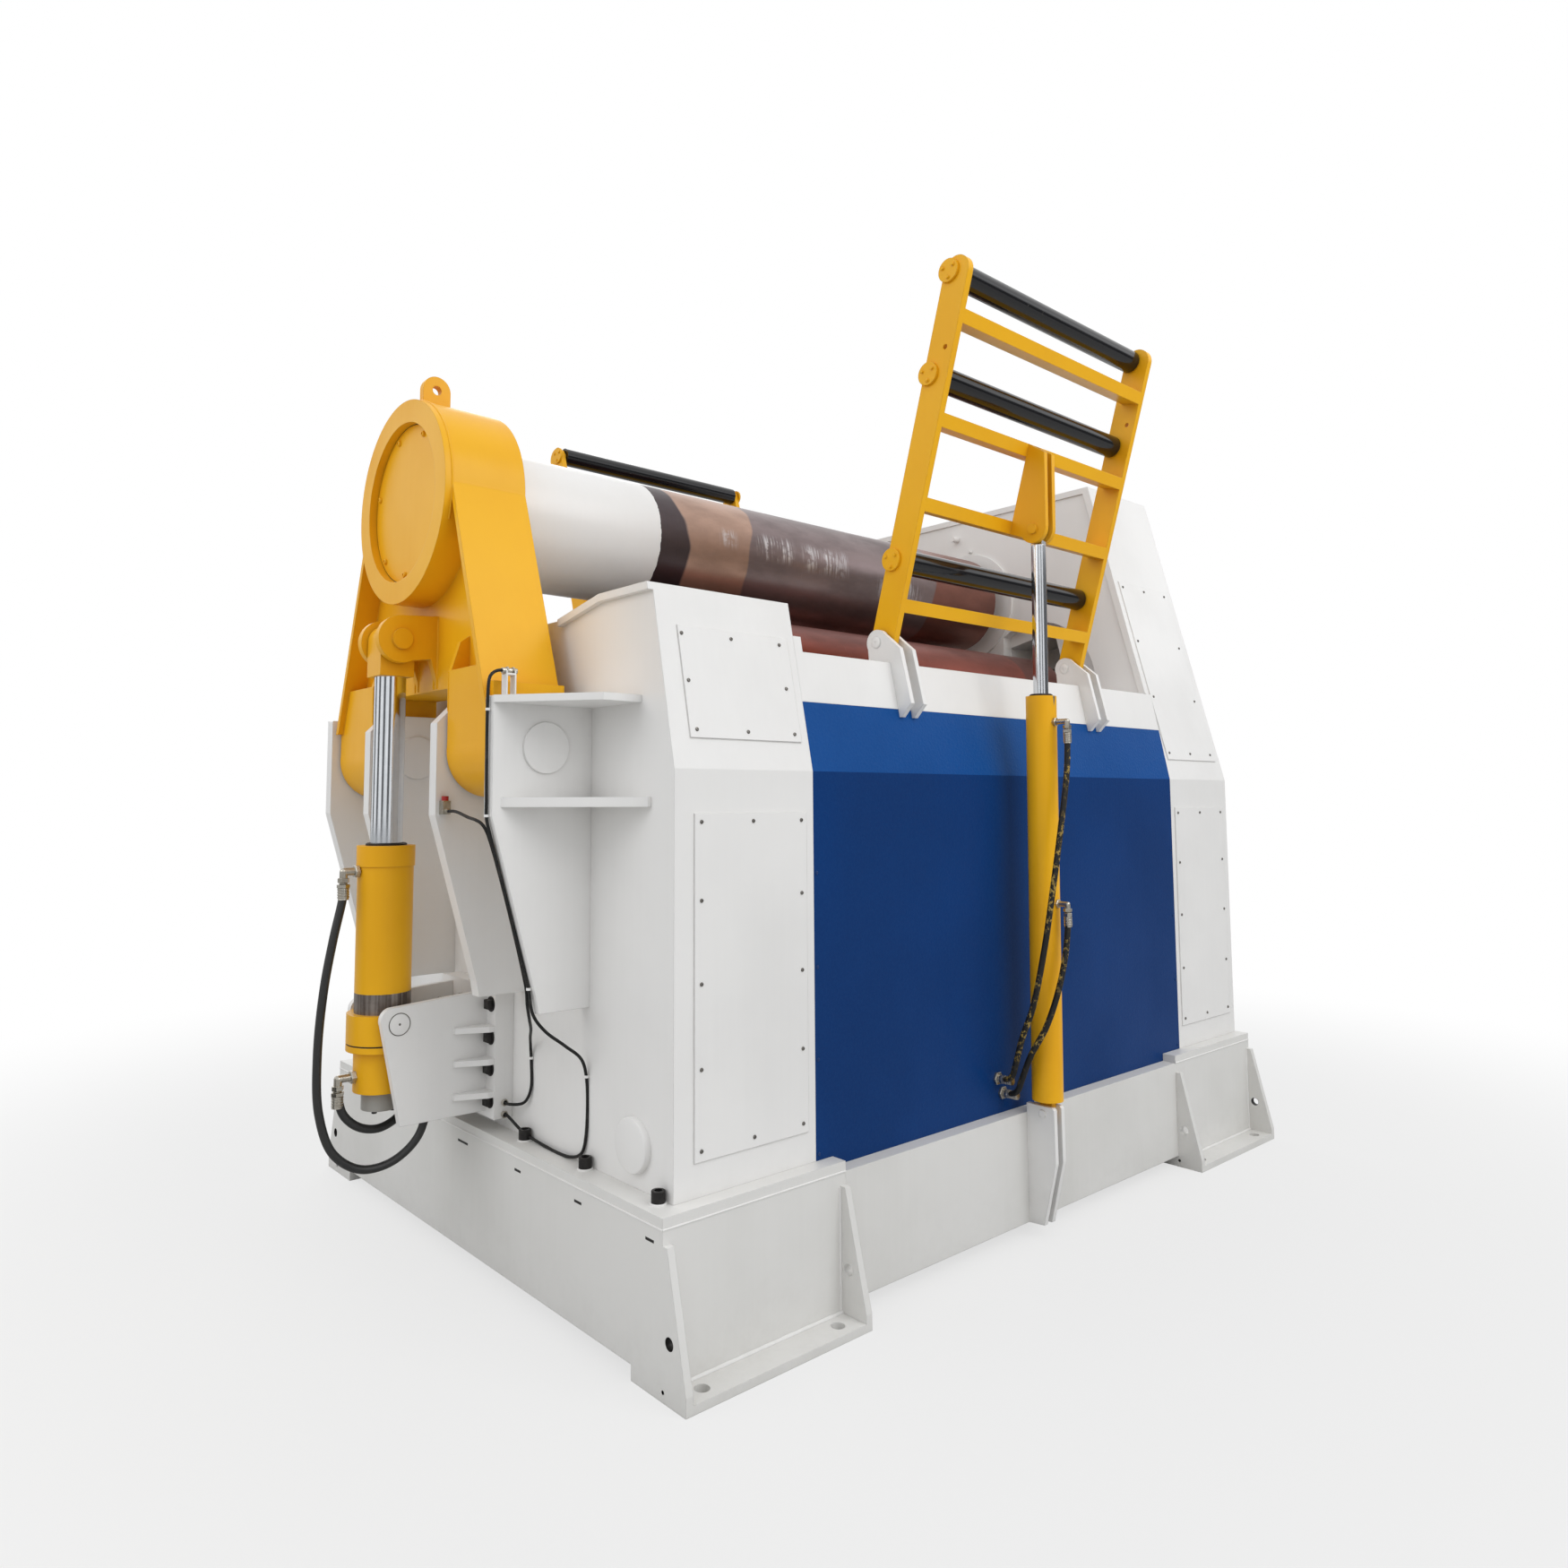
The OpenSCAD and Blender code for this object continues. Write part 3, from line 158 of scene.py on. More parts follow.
class Form:
    """A mesh that grows shape by shape and then becomes one piece."""

    def __init__(self) -> None:
        """Starts an empty mesh."""
        self.bm = bmesh.new()

    def _skin(self, rings: list[list], hoop: bool = False) -> "Form":
        """Joins neighbouring rings of vertices with faces and closes the ends.

        Args:
            rings: The rings; one that has a single vertex is a point.
            hoop: Whether the last ring joins the first, instead of a cap on each.

        Returns:
            The form itself.
        """
        for low, high in zip(rings, rings[1:] + rings[:1] if hoop else rings[1:]):
            for k in range(max(len(low), len(high))):
                corners = (low[k % len(low)], low[(k + 1) % len(low)],
                           high[(k + 1) % len(high)], high[k % len(high)])
                self.bm.faces.new(list(dict.fromkeys(corners)))
        caps = () if hoop else (rings[0][::-1], rings[-1])
        for cap in caps:
            if len(cap) > 1:
                self.bm.faces.new(cap)
        return self

    def lathe(self, outline: Sequence[Pair], place: Matrix, sides: int = 32,
              hoop: bool = False) -> "Form":
        """Turns an outline about the place's Z.

        Args:
            outline: Pairs of radius and height in millimetres; a radius of 0 is a point.
            place: Where the turned part goes.
            sides: Number of sides; 6 makes a hexagon and 4 a square.
            hoop: Whether the outline closes on itself, which leaves the middle open.

        Returns:
            The form itself.
        """
        rings = []
        for radius, height in outline:
            r, z = radius / 1000, height / 1000
            around = spokes(sides) if radius > 0 else [(0.0, 0.0)]
            rings.append([self.bm.verts.new(place @ Vector((r * c, r * s, z))) for c, s in around])
        return self._skin(rings, hoop)

    def ring(self, radii: Pair, heights: Pair, place: Matrix, sides: int) -> "Form":
        """An open ring of rectangular section, between two radii and two heights."""
        (a, b), (low, high) = radii, heights
        return self.lathe([(a, low), (a, high), (b, high), (b, low)], place, sides, hoop=True)

    def box(self, size: Point, place: Matrix) -> "Form":
        """Stands a box on the middle of the place's XY plane.

        Args:
            size: Width, length and height in millimetres.
            place: Where the box goes.

        Returns:
            The form itself.
        """
        x, y, height = size[0] / 2000, size[1] / 2000, size[2] / 1000
        corners = ((-x, -y), (x, -y), (x, y), (-x, y))
        return self._skin([[self.bm.verts.new(place @ Vector((*corner, z))) for corner in corners]
                           for z in (0.0, height)])

    def tube(self, line: Sequence[Vector], radius: float, sides: int = 8,
             swell: Callable[[float], float] = lambda gone: 1.0) -> "Form":
        """Sweeps a round section along a line, without twist.

        Args:
            line: Points that the tube follows, in metres.
            radius: Radius in millimetres.
            sides: Sides of the section.
            swell: Factor on the radius for each distance from the start.

        Returns:
            The form itself.
        """
        side = (line[1] - line[0]).orthogonal().normalized()
        rings, gone = [], 0.0
        for i, point in enumerate(line):
            ahead = (line[min(i + 1, len(line) - 1)] - line[max(i - 1, 0)]).normalized()
            gone += (point - line[i - 1]).length if i else 0.0
            side = (side - ahead * side.dot(ahead)).normalized()
            over, r = ahead.cross(side), radius / 1000 * swell(gone)
            rings.append([self.bm.verts.new(point + (side * c + over * s) * r)
                          for c, s in spokes(sides)])
        return self._skin(rings)

    def bead(self, start: Point, end: Point, radius: float = 4.5) -> None:
        """Adds a weld bead with slight ripples along a straight corner.

        Args:
            start: One end of the corner, in millimetres.
            end: The other end.
            radius: Radius of the bead in millimetres.
        """
        a, b = mm(*start), mm(*end)
        count = max(4, int((b - a).length / BEAD_STEP))
        self.tube([a.lerp(b, i / count) for i in range(count + 1)], radius,
                  swell=lambda gone: 1.0 + RIPPLE_DEPTH * math.sin(gone * RIPPLE_RATE))

    def piece(self, name: str, finish: "Finish", body: str = "root",
              crease: float = 35.0) -> bpy.types.Object:
        """Makes the object: dressed, smooth up to the crease angle and riding on its body.

        Args:
            name: Name of the piece.
            finish: Its finish.
            body: Body that it moves with.
            crease: Greatest angle between smooth neighbours, in degrees.

        Returns:
            The new object.
        """
        bmesh.ops.recalc_face_normals(self.bm, faces=self.bm.faces)
        limit = math.radians(crease)
        for face in self.bm.faces:
            face.smooth = True
        for edge in self.bm.edges:
            edge.smooth = len(edge.link_faces) == 2 and edge.calc_face_angle(0.0) < limit
        mesh = bpy.data.meshes.new(name)
        self.bm.to_mesh(mesh)
        self.bm.free()
        made = new_object(name, mesh)
        mesh.materials.append(finish.material())
        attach(made, body)
        LOG.info("made %s with %d faces", name, len(mesh.polygons))
        return made


class Head(Enum):
    """Kinds of screw head: the number of sides and factors on the head's radius and height."""

    HEX = (6, ((1, 0), (1, 0.86), (0.9, 1), (0, 1)))
    ROUND = (20, ((1, 0), (0.98, 0.45), (0.8, 0.85), (0.45, 1), (0.42, 0.62), (0, 0.6)))


def screw(form: Form, place: Matrix, size: Pair, head: Head = Head.HEX,
          washer: float = 0.0) -> None:
    """Adds a screw head, standing on the place's XY plane.

    Args:
        form: Form that gets it.
        place: Foot of the head, with Z pointing out.
        size: Corner radius and height of the head, in millimetres.
        head: Kind of head.
        washer: Radius of a washer under it, as a factor on the head's; 0 leaves it out.
    """
    (radius, height), (sides, factors) = size, head.value
    rim, foot = radius * washer, height * 0.16 if washer else 0.0
    if washer:
        form.lathe([(rim, SINK), (rim, foot * 0.7), (rim * 0.96, foot)], place, 24)
    form.lathe([(radius * r, foot + height * h) for r, h in factors], place, sides)


# ---------------------------------------------------------------- node graphs

class Graph:
    """Short calls for the nodes of one shader tree."""

    def __init__(self, tree: bpy.types.NodeTree) -> None:
        """Takes the tree that gets the nodes."""
        self.tree = tree

    def put(self, socket: Socket, value: object) -> None:
        """Feeds an input from another socket, or sets it.

        Args:
            socket: The input.
            value: The socket that feeds it, or its value.
        """
        if isinstance(value, Socket):
            self.tree.links.new(value, socket)
        else:
            socket.default_value = value

    def add(self, kind: str, values: dict | None = None, **settings: object) -> bpy.types.Node:
        """Adds a shader node.

        Args:
            kind: Node class without its ShaderNode prefix.
            values: Input name or number with its value, or with the socket that feeds it.
            settings: Attributes of the node.

        Returns:
            The node.
        """
        node = self.tree.nodes.new("ShaderNode" + kind)
        for key, value in settings.items():
            setattr(node, key, value)
        for key, value in (values or {}).items():
            self.put(node.inputs[key], value)
        return node

    def math(self, operation: str, a: object, b: object = 0.0) -> Socket:
        """A math node's output for two values or sockets."""
        return self.add("Math", {0: a, 1: b}, operation=operation).outputs[0]

    def times(self, first: object, *others: object) -> Socket:
        """The product of values or sockets.

        Args:
            first: First factor.
            others: The other factors.

        Returns:
            The last product's socket.
        """
        for other in others:
            first = self.math("MULTIPLY", first, other)
        return first

    def plus(self, a: object, b: object) -> Socket:
        """The sum of two values or sockets."""
        return self.math("ADD", a, b)

    def minus(self, a: object, b: object) -> Socket:
        """The difference of two values or sockets."""
        return self.math("SUBTRACT", a, b)

    def ramp(self, value: Socket, low: float, high: float, to: Pair = (0.0, 1.0)) -> Socket:
        """Maps a value smoothly from one range to another.

        Args:
            value: The value.
            low: The value that gives the first result.
            high: The value that gives the second result.
            to: Both results.

        Returns:
            The mapped value.
        """
        return self.add("MapRange", {"Value": value, "From Min": low, "From Max": high,
                                     "To Min": to[0], "To Max": to[1]},
                        interpolation_type="SMOOTHSTEP").outputs["Result"]

    def mix(self, share: object, a: object, b: object) -> Socket:
        """Mixes two colours by a share."""
        return self.add("Mix", {0: share, 6: a, 7: b}, data_type="RGBA").outputs[2]

    def noise(self, vector: Socket, scale: float, detail: float = 3.0,
              rough: float = 0.6) -> Socket:
        """A noise value at a scale in features per metre."""
        return self.add("TexNoise", {"Vector": vector, "Scale": scale, "Detail": detail,
                                     "Roughness": rough}).outputs["Fac"]

    def stretched(self, vector: Socket, factors: Point) -> Socket:
        """The vector scaled by a factor on each axis."""
        return self.add("Mapping", {"Vector": vector, "Scale": factors}).outputs[0]

    def split(self, vector: Socket) -> bpy.types.NodeOutputs:
        """The X, Y and Z of a vector."""
        return self.add("SeparateXYZ", {0: vector}).outputs

    def vector(self, operation: str, values: dict) -> bpy.types.NodeOutputs:
        """A vector math node's outputs for its inputs."""
        return self.add("VectorMath", values, operation=operation).outputs

    def own_place(self) -> Socket:
        """The piece's own coordinates, in metres."""
        return self.add("TexCoord").outputs["Object"]

    def group(self, tree: bpy.types.NodeTree, **values: object) -> bpy.types.NodeOutputs:
        """The outputs of a shared effect with the given inputs."""
        return self.add("Group", values, node_tree=tree).outputs


def fresh_graph(block: bpy.types.ID) -> Graph:
    """Empties the node tree of a material or world.

    Args:
        block: The material or world.

    Returns:
        The graph of its tree.
    """
    block.use_nodes = True
    block.node_tree.nodes.clear()
    return Graph(block.node_tree)


class Effect(Graph):
    """A node group that several materials share; it puts out masks, values and normals."""

    def __init__(self, name: str, **inputs: float) -> None:
        """Opens the group.

        Args:
            name: Name of the group.
            inputs: Names of the inputs with their first values.
        """
        super().__init__(bpy.data.node_groups.new(name, "ShaderNodeTree"))
        for key, value in inputs.items():
            self._plug(key, "INPUT").default_value = value
        self.have = self.tree.nodes.new("NodeGroupInput").outputs

    def _plug(self, name: str, way: str, kind: str = "Float") -> bpy.types.NodeTreeInterfaceSocket:
        """Adds an input or output to the group."""
        return self.tree.interface.new_socket(name, in_out=way, socket_type="NodeSocket" + kind)

    def give(self, **results: Socket) -> bpy.types.NodeTree:
        """Connects the outputs.

        Args:
            results: Names of the outputs with what they put out.

        Returns:
            The finished group.
        """
        for key in results:
            self._plug(key, "OUTPUT", "Vector" if key == "Normal" else "Float")
        sink = self.tree.nodes.new("NodeGroupOutput")
        for key, socket in results.items():
            self.put(sink.inputs[key], socket)
        return self.tree


def rounded_edges() -> bpy.types.NodeTree:
    """Rounded edges, and a mask of the edges that paints make lighter: partly rubbed-off paint,
    partly a painted edge highlight.

    Returns:
        A group that puts out a normal and a mask.
    """
    g = Effect("rounded_edges", Radius=0.004, Amount=1.0)
    rounded = g.add("Bevel", {"Radius": g.have["Radius"]}, samples=4).outputs[0]
    flat = g.add("NewGeometry").outputs["Normal"]
    turn = g.vector("DOT_PRODUCT", {0: rounded, 1: flat})["Value"]
    edge = g.ramp(g.minus(1.0, turn), 0.03, 0.22)
    patches = g.ramp(g.noise(g.own_place(), 30.0, 5.0, 0.5), 0.45, 0.75)
    return g.give(Normal=rounded, Mask=g.times(edge, patches, g.have["Amount"]))


def corner_shade_and_dirt() -> bpy.types.NodeTree:
    """Painted shade in corners, from ambient occlusion, and patches of dust and shop soiling low
    down.

    Returns:
        A group that puts out a mask.
    """
    g = Effect("corner_shade_and_dirt", Amount=1.0)
    open_sky = g.add("AmbientOcclusion", {"Distance": 0.09}, samples=6).outputs["AO"]
    place = g.own_place()
    cloudy = g.ramp(g.noise(place, 7.0, 5.0), 0.3, 0.7)
    # Painted shade: corners that see little open sky are darkened.
    corner = g.times(g.ramp(open_sky, 0.9, 0.35), g.plus(g.times(cloudy, 0.7), 0.3))
    splash = g.times(g.ramp(g.split(place)["Z"], 0.35, 0.0),
                     g.ramp(g.noise(place, 18.0, 6.0, 0.7), 0.42, 0.7))
    return g.give(Mask=g.times(g.plus(corner, g.times(splash, 0.5)), g.have["Amount"]))


def paint_skin() -> bpy.types.NodeTree:
    """Sprayed paint: slow colour drift, orange peel and faint roller marks.

    Returns:
        A group that puts out a tone and a height.
    """
    g = Effect("paint_skin", Marks=0.3)
    place = g.own_place()
    drift = g.noise(place, 1.6, 4.0, 0.5)
    marks = g.noise(g.stretched(place, (46.0, 46.0, 1.4)), 1.0)
    peel = g.noise(place, 260.0, 2.0, 0.5)
    return g.give(Tone=g.plus(drift, g.times(g.minus(marks, 0.5), g.have["Marks"])),
                  Height=g.plus(peel, g.times(marks, g.have["Marks"])))


def turned_grain() -> bpy.types.NodeTree:
    """Fine machining lines that run round a bar along X, with scratches.

    Returns:
        A group that puts out lines and scratches.
    """
    g = Effect("turned_grain", Amount=1.0)
    place = g.own_place()
    lines = g.add("TexNoise", {"W": g.times(g.split(place)["X"], 700.0), "Scale": 1.0,
                               "Detail": 2.0}, noise_dimensions="1D").outputs["Fac"]
    cuts = g.noise(g.stretched(place, (140.0, 9.0, 9.0)), 1.0, 4.0, 0.7)
    where = g.ramp(g.noise(place, 3.2), 0.55, 0.72)
    return g.give(Lines=lines, Scratches=g.times(g.ramp(cuts, 0.62, 0.72), where,
                                                 g.have["Amount"]))


EDGES, SHADE_AND_DIRT, SKIN, GRAIN = rounded_edges(), corner_shade_and_dirt(), paint_skin(), turned_grain()


# ---------------------------------------------------------------- coats

def srgb(red: float, green: float, blue: float) -> Color:
    """A colour given as 0..255 display values, as the linear RGBA that shaders take."""
    parts = [c / 255 for c in (red, green, blue)]
    return (*(c / 12.92 if c <= 0.04045 else ((c + 0.055) / 1.055) ** 2.4 for c in parts), 1.0)


@dataclass
class Look:
    """What a coat gives the shader; each value is a socket or a constant."""

    color: object
    rough: object
    metal: object = 0.0
    height: Socket | None = None


@dataclass(frozen=True)
class Coat:
    """A surface recipe that a finish lays on a piece or on a zone of it."""

    color: Color

    def look(self, g: Graph) -> Look:
        """Adds the recipe's nodes.

        Args:
            g: The material's graph.

        Returns:
            What the coat gives the shader.
        """
        raise NotImplementedError


@dataclass(frozen=True)
class Paint(Coat):
    """Sprayed enamel with slow colour drift, lighter edges that are partly rubbed-off paint and
    partly a painted edge highlight, and painted shade in its corners with soiling low down.
    """

    shade: Color
    wear_and_highlight: Color
    shade_and_grime: Color = srgb(118, 108, 96)
    rough: float = 0.34
    shade_and_dirt: float = 0.35
    wear_and_highlight_amount: float = 0.35
    marks: float = 0.35

    def look(self, g: Graph) -> Look:
        """Adds the paint's nodes.

        Args:
            g: The material's graph.

        Returns:
            The paint's look.
        """
        skin = g.group(SKIN, Marks=self.marks)
        shade_and_dirt = g.group(SHADE_AND_DIRT, Amount=self.shade_and_dirt)["Mask"]
        tone = g.ramp(skin["Tone"], 0.28, 0.78)
        # Edges take the lighter edge colour: partly rubbed-off paint, partly a painted edge
        # highlight.
        color = g.mix(g.group(EDGES, Amount=self.wear_and_highlight_amount)["Mask"],
                      g.mix(tone, self.color, self.shade), self.wear_and_highlight)
        rough = g.plus(g.ramp(tone, 0.0, 1.0, (self.rough - 0.05, self.rough + 0.07)),
                       g.times(shade_and_dirt, 0.3))
        # Corners take the darker colour: painted shade from ambient occlusion, with soiling in
        # patches low down.
        return Look(g.mix(shade_and_dirt, color, self.shade_and_grime), rough, 0.0, skin["Height"])


@dataclass(frozen=True)
class HammerPaint(Paint):
    """Enamel with a coarse hammered skin and fine mottling."""

    mottle: float = 0.2
    pits: float = 1.8
    fleck: Color = srgb(40, 100, 166)

    def look(self, g: Graph) -> Look:
        """Adds the mottling to the plain paint's look.

        Args:
            g: The material's graph.

        Returns:
            The paint's look.
        """
        base, place = super().look(g), g.own_place()
        pits = g.add("TexVoronoi", {"Vector": place, "Scale": 95.0, "Randomness": 1.0},
                     feature="SMOOTH_F1").outputs["Distance"]
        mottle = g.times(g.ramp(g.noise(place, 130.0), 0.35, 0.7), self.mottle)
        return Look(g.mix(mottle, base.color, self.fleck), base.rough, 0.0,
                    g.plus(g.times(pits, self.pits), base.height))


@dataclass(frozen=True)
class Patch:
    """A rectangle on the front of a roll, in metres of X and Z, with soft rims."""

    x: Pair
    z: Pair

    def mask(self, g: Graph, parts: bpy.types.NodeOutputs) -> Socket:
        """Adds the rectangle's nodes.

        Args:
            g: The material's graph.
            parts: X, Y and Z of the roll's own coordinates.

        Returns:
            1 inside the rectangle and 0 outside.
        """
        across = g.times(g.ramp(parts["X"], self.x[0] - 0.03, self.x[0] + 0.03),
                         g.ramp(parts["X"], self.x[1] + 0.03, self.x[1] - 0.03))
        up = g.times(g.ramp(parts["Z"], self.z[0] - 0.02, self.z[0] + 0.03),
                     g.ramp(parts["Z"], self.z[1] + 0.02, self.z[1] - 0.03))
        return g.times(across, up, g.math("LESS_THAN", parts["Y"], 0.0))


@dataclass(frozen=True)
class RollScale(Coat):
    """Mill scale on a forged roll, with heat-tint bands, scratches, and rubbed patches painted
    bright as glints.
    """

    bands: tuple[tuple[float, float, Color], ...]
    wobble: float = 0.035
    blur: float = 0.008
    scuffs: float = 1.0
    glint_rubs: tuple[Patch, ...] = ()
    cloud: Color = (0.022, 0.016, 0.016, 1.0)
    band_cloud: Color = (0.018, 0.012, 0.010, 1.0)
    line: Color = (0.16, 0.12, 0.11, 1.0)
    scratch: Color = srgb(196, 190, 188)
    rub_glint: Color = srgb(206, 202, 204)

    def look(self, g: Graph) -> Look:
        """Adds the scale's nodes.

        Args:
            g: The material's graph.

        Returns:
            The scale's look.
        """
        place = g.own_place()
        parts, grain = g.split(place), g.group(GRAIN, Amount=self.scuffs)
        wave = g.times(g.minus(g.noise(place, 2.4, 2.0, 0.5), 0.5), self.wobble * 4)
        along = g.plus(parts["X"], wave)
        cloud = g.ramp(g.noise(g.stretched(place, (2.0, 5.0, 5.0)), 1.0, 5.0), 0.3, 0.75)
        color = g.mix(g.times(cloud, 0.5), self.color, self.cloud)
        for start, end, tint in self.bands:
            inside = g.times(g.ramp(along, start - self.blur, start + self.blur),
                             g.ramp(along, end + self.blur, end - self.blur))
            color = g.mix(inside, color, g.mix(g.times(cloud, 0.45), tint, self.band_cloud))
        color = g.mix(g.times(g.ramp(grain["Lines"], 0.35, 0.65), 0.16), color, self.line)
        color = g.mix(g.times(grain["Scratches"], 0.75), color, self.scratch)
        # Rubbed patches on the front, painted bright as the glint of small bumps catching light.
        if self.glint_rubs:
            strokes = g.noise(g.stretched(place, (130.0, 5.0, 5.0)), 1.0, 3.0, 0.65)
            wear_and_highlight = g.times(g.ramp(strokes, 0.44, 0.62), g.ramp(g.noise(place, 22.0), 0.36, 0.58))
            for patch in self.glint_rubs:
                color = g.mix(g.times(patch.mask(g, parts), wear_and_highlight), color, self.rub_glint)
        return Look(color, g.ramp(cloud, 0.0, 1.0, (0.3, 0.44)), 0.72, grain["Lines"])


@dataclass(frozen=True)
class Metal(Coat):
    """Bare metal with streaks along one direction."""

    shade: Color
    rough: float = 0.3
    streaks: Point = (60.0, 60.0, 2.0)
    contrast: float = 0.5
    metal: float = 1.0

    def look(self, g: Graph) -> Look:
        """Adds the metal's nodes.

        Args:
            g: The material's graph.

        Returns:
            The metal's look.
        """
        place = g.own_place()
        lines = g.noise(g.stretched(place, self.streaks), 1.0, 4.0, 0.65)
        spots = g.times(g.noise(place, 26.0, 4.0), 0.4)
        tone = g.times(g.ramp(g.plus(lines, spots), 0.45, 0.95), self.contrast)
        rough = g.ramp(lines, 0.25, 0.75, (self.rough * 0.75, self.rough * 1.3))
        return Look(g.mix(tone, self.color, self.shade), rough, self.metal, lines)


@dataclass(frozen=True)
class Enamel(Coat):
    """Thin gloss black on a steel tube, with drag marks and chips."""

    bare: Color
    rough: float = 0.1
    haze: Color = (0.09, 0.09, 0.095, 1.0)

    def look(self, g: Graph) -> Look:
        """Adds the enamel's nodes.

        Args:
            g: The material's graph.

        Returns:
            The enamel's look.
        """
        place = g.own_place()
        drag = g.noise(g.stretched(place, (3.0, 70.0, 70.0)), 1.0, 4.0)
        chips = g.times(g.ramp(g.noise(place, 34.0, 4.0, 0.7), 0.7, 0.74), 0.5)
        wear_and_highlight = g.math("MAXIMUM", chips, g.times(g.group(EDGES, Amount=1.0)["Mask"], 0.7))
        color = g.mix(wear_and_highlight, g.mix(g.times(drag, 0.08), self.color, self.haze), self.bare)
        rough = g.ramp(drag, 0.3, 0.7, (self.rough - 0.03, self.rough + 0.08))
        return Look(color, rough, 0.0, drag)


@dataclass(frozen=True)
class Rubber(Coat):
    """Cloth-wrapped rubber with rubbed paint flecks."""

    flecks: Color
    amount: float
    dust: Color = (0.09, 0.088, 0.08, 1.0)

    def look(self, g: Graph) -> Look:
        """Adds the rubber's nodes.

        Args:
            g: The material's graph.

        Returns:
            The rubber's look.
        """
        place = g.own_place()
        weave = g.add("TexVoronoi", {"Vector": g.stretched(place, (420.0,) * 3),
                                     "Scale": 1.0}).outputs["Distance"]
        rubbed = g.ramp(g.noise(place, 60.0, 5.0, 0.75), 0.53, 0.58)
        patch = g.ramp(g.noise(place, 6.0, 2.0, 0.5), 0.4, 0.54)
        dusty = g.mix(g.times(g.noise(place, 12.0, 4.0), 0.14), self.color, self.dust)
        return Look(g.mix(g.times(rubbed, patch, self.amount), dusty, self.flecks),
                    g.ramp(weave, 0.0, 0.8, (0.42, 0.62)), 0.0, weave)


# ---------------------------------------------------------------- finishes

@dataclass(frozen=True)
class Zone:
    """A box of the piece's own space, in metres, that carries another coat."""

    coat: Coat
    x: Pair = (-FAR, FAR)
    y: Pair = (-FAR, FAR)
    z: Pair = (-FAR, FAR)
    ragged: float = 0.0

    def mask(self, g: Graph) -> Socket:
        """Adds the nodes of the box.

        Args:
            g: The material's graph.

        Returns:
            1 inside the box and 0 outside.
        """
        place = g.own_place()
        if self.ragged:
            shake = g.add("TexNoise", {"Vector": place, "Scale": 38.0, "Detail": 4.0})
            centred = g.vector("SUBTRACT", {0: shake.outputs["Color"], 1: (0.5, 0.5, 0.5)})[0]
            moved = g.vector("SCALE", {0: centred, "Scale": self.ragged})[0]
            place = g.vector("ADD", {0: place, 1: moved})[0]
        inside: object = 1.0
        for part, bounds in zip(g.split(place), (self.x, self.y, self.z)):
            for bound, test in zip(bounds, ("GREATER_THAN", "LESS_THAN")):
                if abs(bound) < FAR:
                    inside = g.times(inside, g.math(test, part, bound))
        return inside


@dataclass(frozen=True)
class Finish:
    """One named finish: a ground coat, zones of other coats, and how deep the skin is."""

    name: str
    slot: str
    ground: Coat
    zones: tuple[Zone, ...] = ()
    edge: float = 0.004
    depth: float = 0.0004
    bump: float = 0.25
    shine: float = 0.5

    def material(self) -> bpy.types.Material:
        """Makes the finish's material on its first use.

        Returns:
            The material.
        """
        made = bpy.data.materials.get(self.name)
        if made is None:
            made = bpy.data.materials.new(self.name)
            g = fresh_graph(made)
            look = self.ground.look(g)
            for zone in self.zones:
                look = self._lay(g, look, zone)
            rounded = g.group(EDGES, Radius=self.edge)["Normal"]
            relief = g.add("Bump", {"Strength": self.bump, "Distance": self.depth,
                                    "Height": look.height, "Normal": rounded})
            shader = g.add("BsdfPrincipled", {
                "IOR": 1.5, "Specular IOR Level": self.shine, "Base Color": look.color,
                "Roughness": look.rough, "Metallic": look.metal, "Normal": relief.outputs[0]})
            g.add("OutputMaterial", {0: shader.outputs[0]})
        return made

    def _lay(self, g: Graph, under: Look, zone: Zone) -> Look:
        """Lays a zone's coat over a look.

        Args:
            g: The material's graph.
            under: The look so far.
            zone: The zone with its coat.

        Returns:
            The mixed look.
        """
        over, mask = zone.coat.look(g), zone.mask(g)
        mixed = [g.add("Mix", {0: mask, 2: a, 3: b}, data_type="FLOAT").outputs[0]
                 for a, b in ((under.rough, over.rough), (under.metal, over.metal),
                              (under.height, over.height))]
        return Look(g.mix(mask, under.color, over.color), *mixed)


# Each paint's third colour is its lighter edge colour, partly a painted edge highlight; a fourth
# colour, where given, is the darker colour of painted shade in corners and soiling low down.
WHITE_COAT = Paint(srgb(241, 240, 238), srgb(232, 231, 229), srgb(250, 250, 248), rough=0.36,
                   shade_and_dirt=0.13, wear_and_highlight_amount=0.5, marks=0.12)
BASE_COAT = Paint(srgb(229, 228, 225), srgb(218, 217, 213), srgb(250, 250, 248), rough=0.4,
                  shade_and_dirt=0.08, wear_and_highlight_amount=0.9, marks=0.12)
YELLOW_COAT = Paint(srgb(248, 186, 26), srgb(238, 171, 20), srgb(255, 222, 120),
                    srgb(150, 92, 14), rough=0.36, shade_and_dirt=0.3, wear_and_highlight_amount=0.6, marks=0.1)
BLUE_COAT = HammerPaint(srgb(6, 56, 117), srgb(5, 50, 106), srgb(50, 96, 160), srgb(10, 28, 60),
                        rough=0.4, shade_and_dirt=0.1, wear_and_highlight_amount=0.2, marks=0.08, mottle=0.05, pits=0.7)
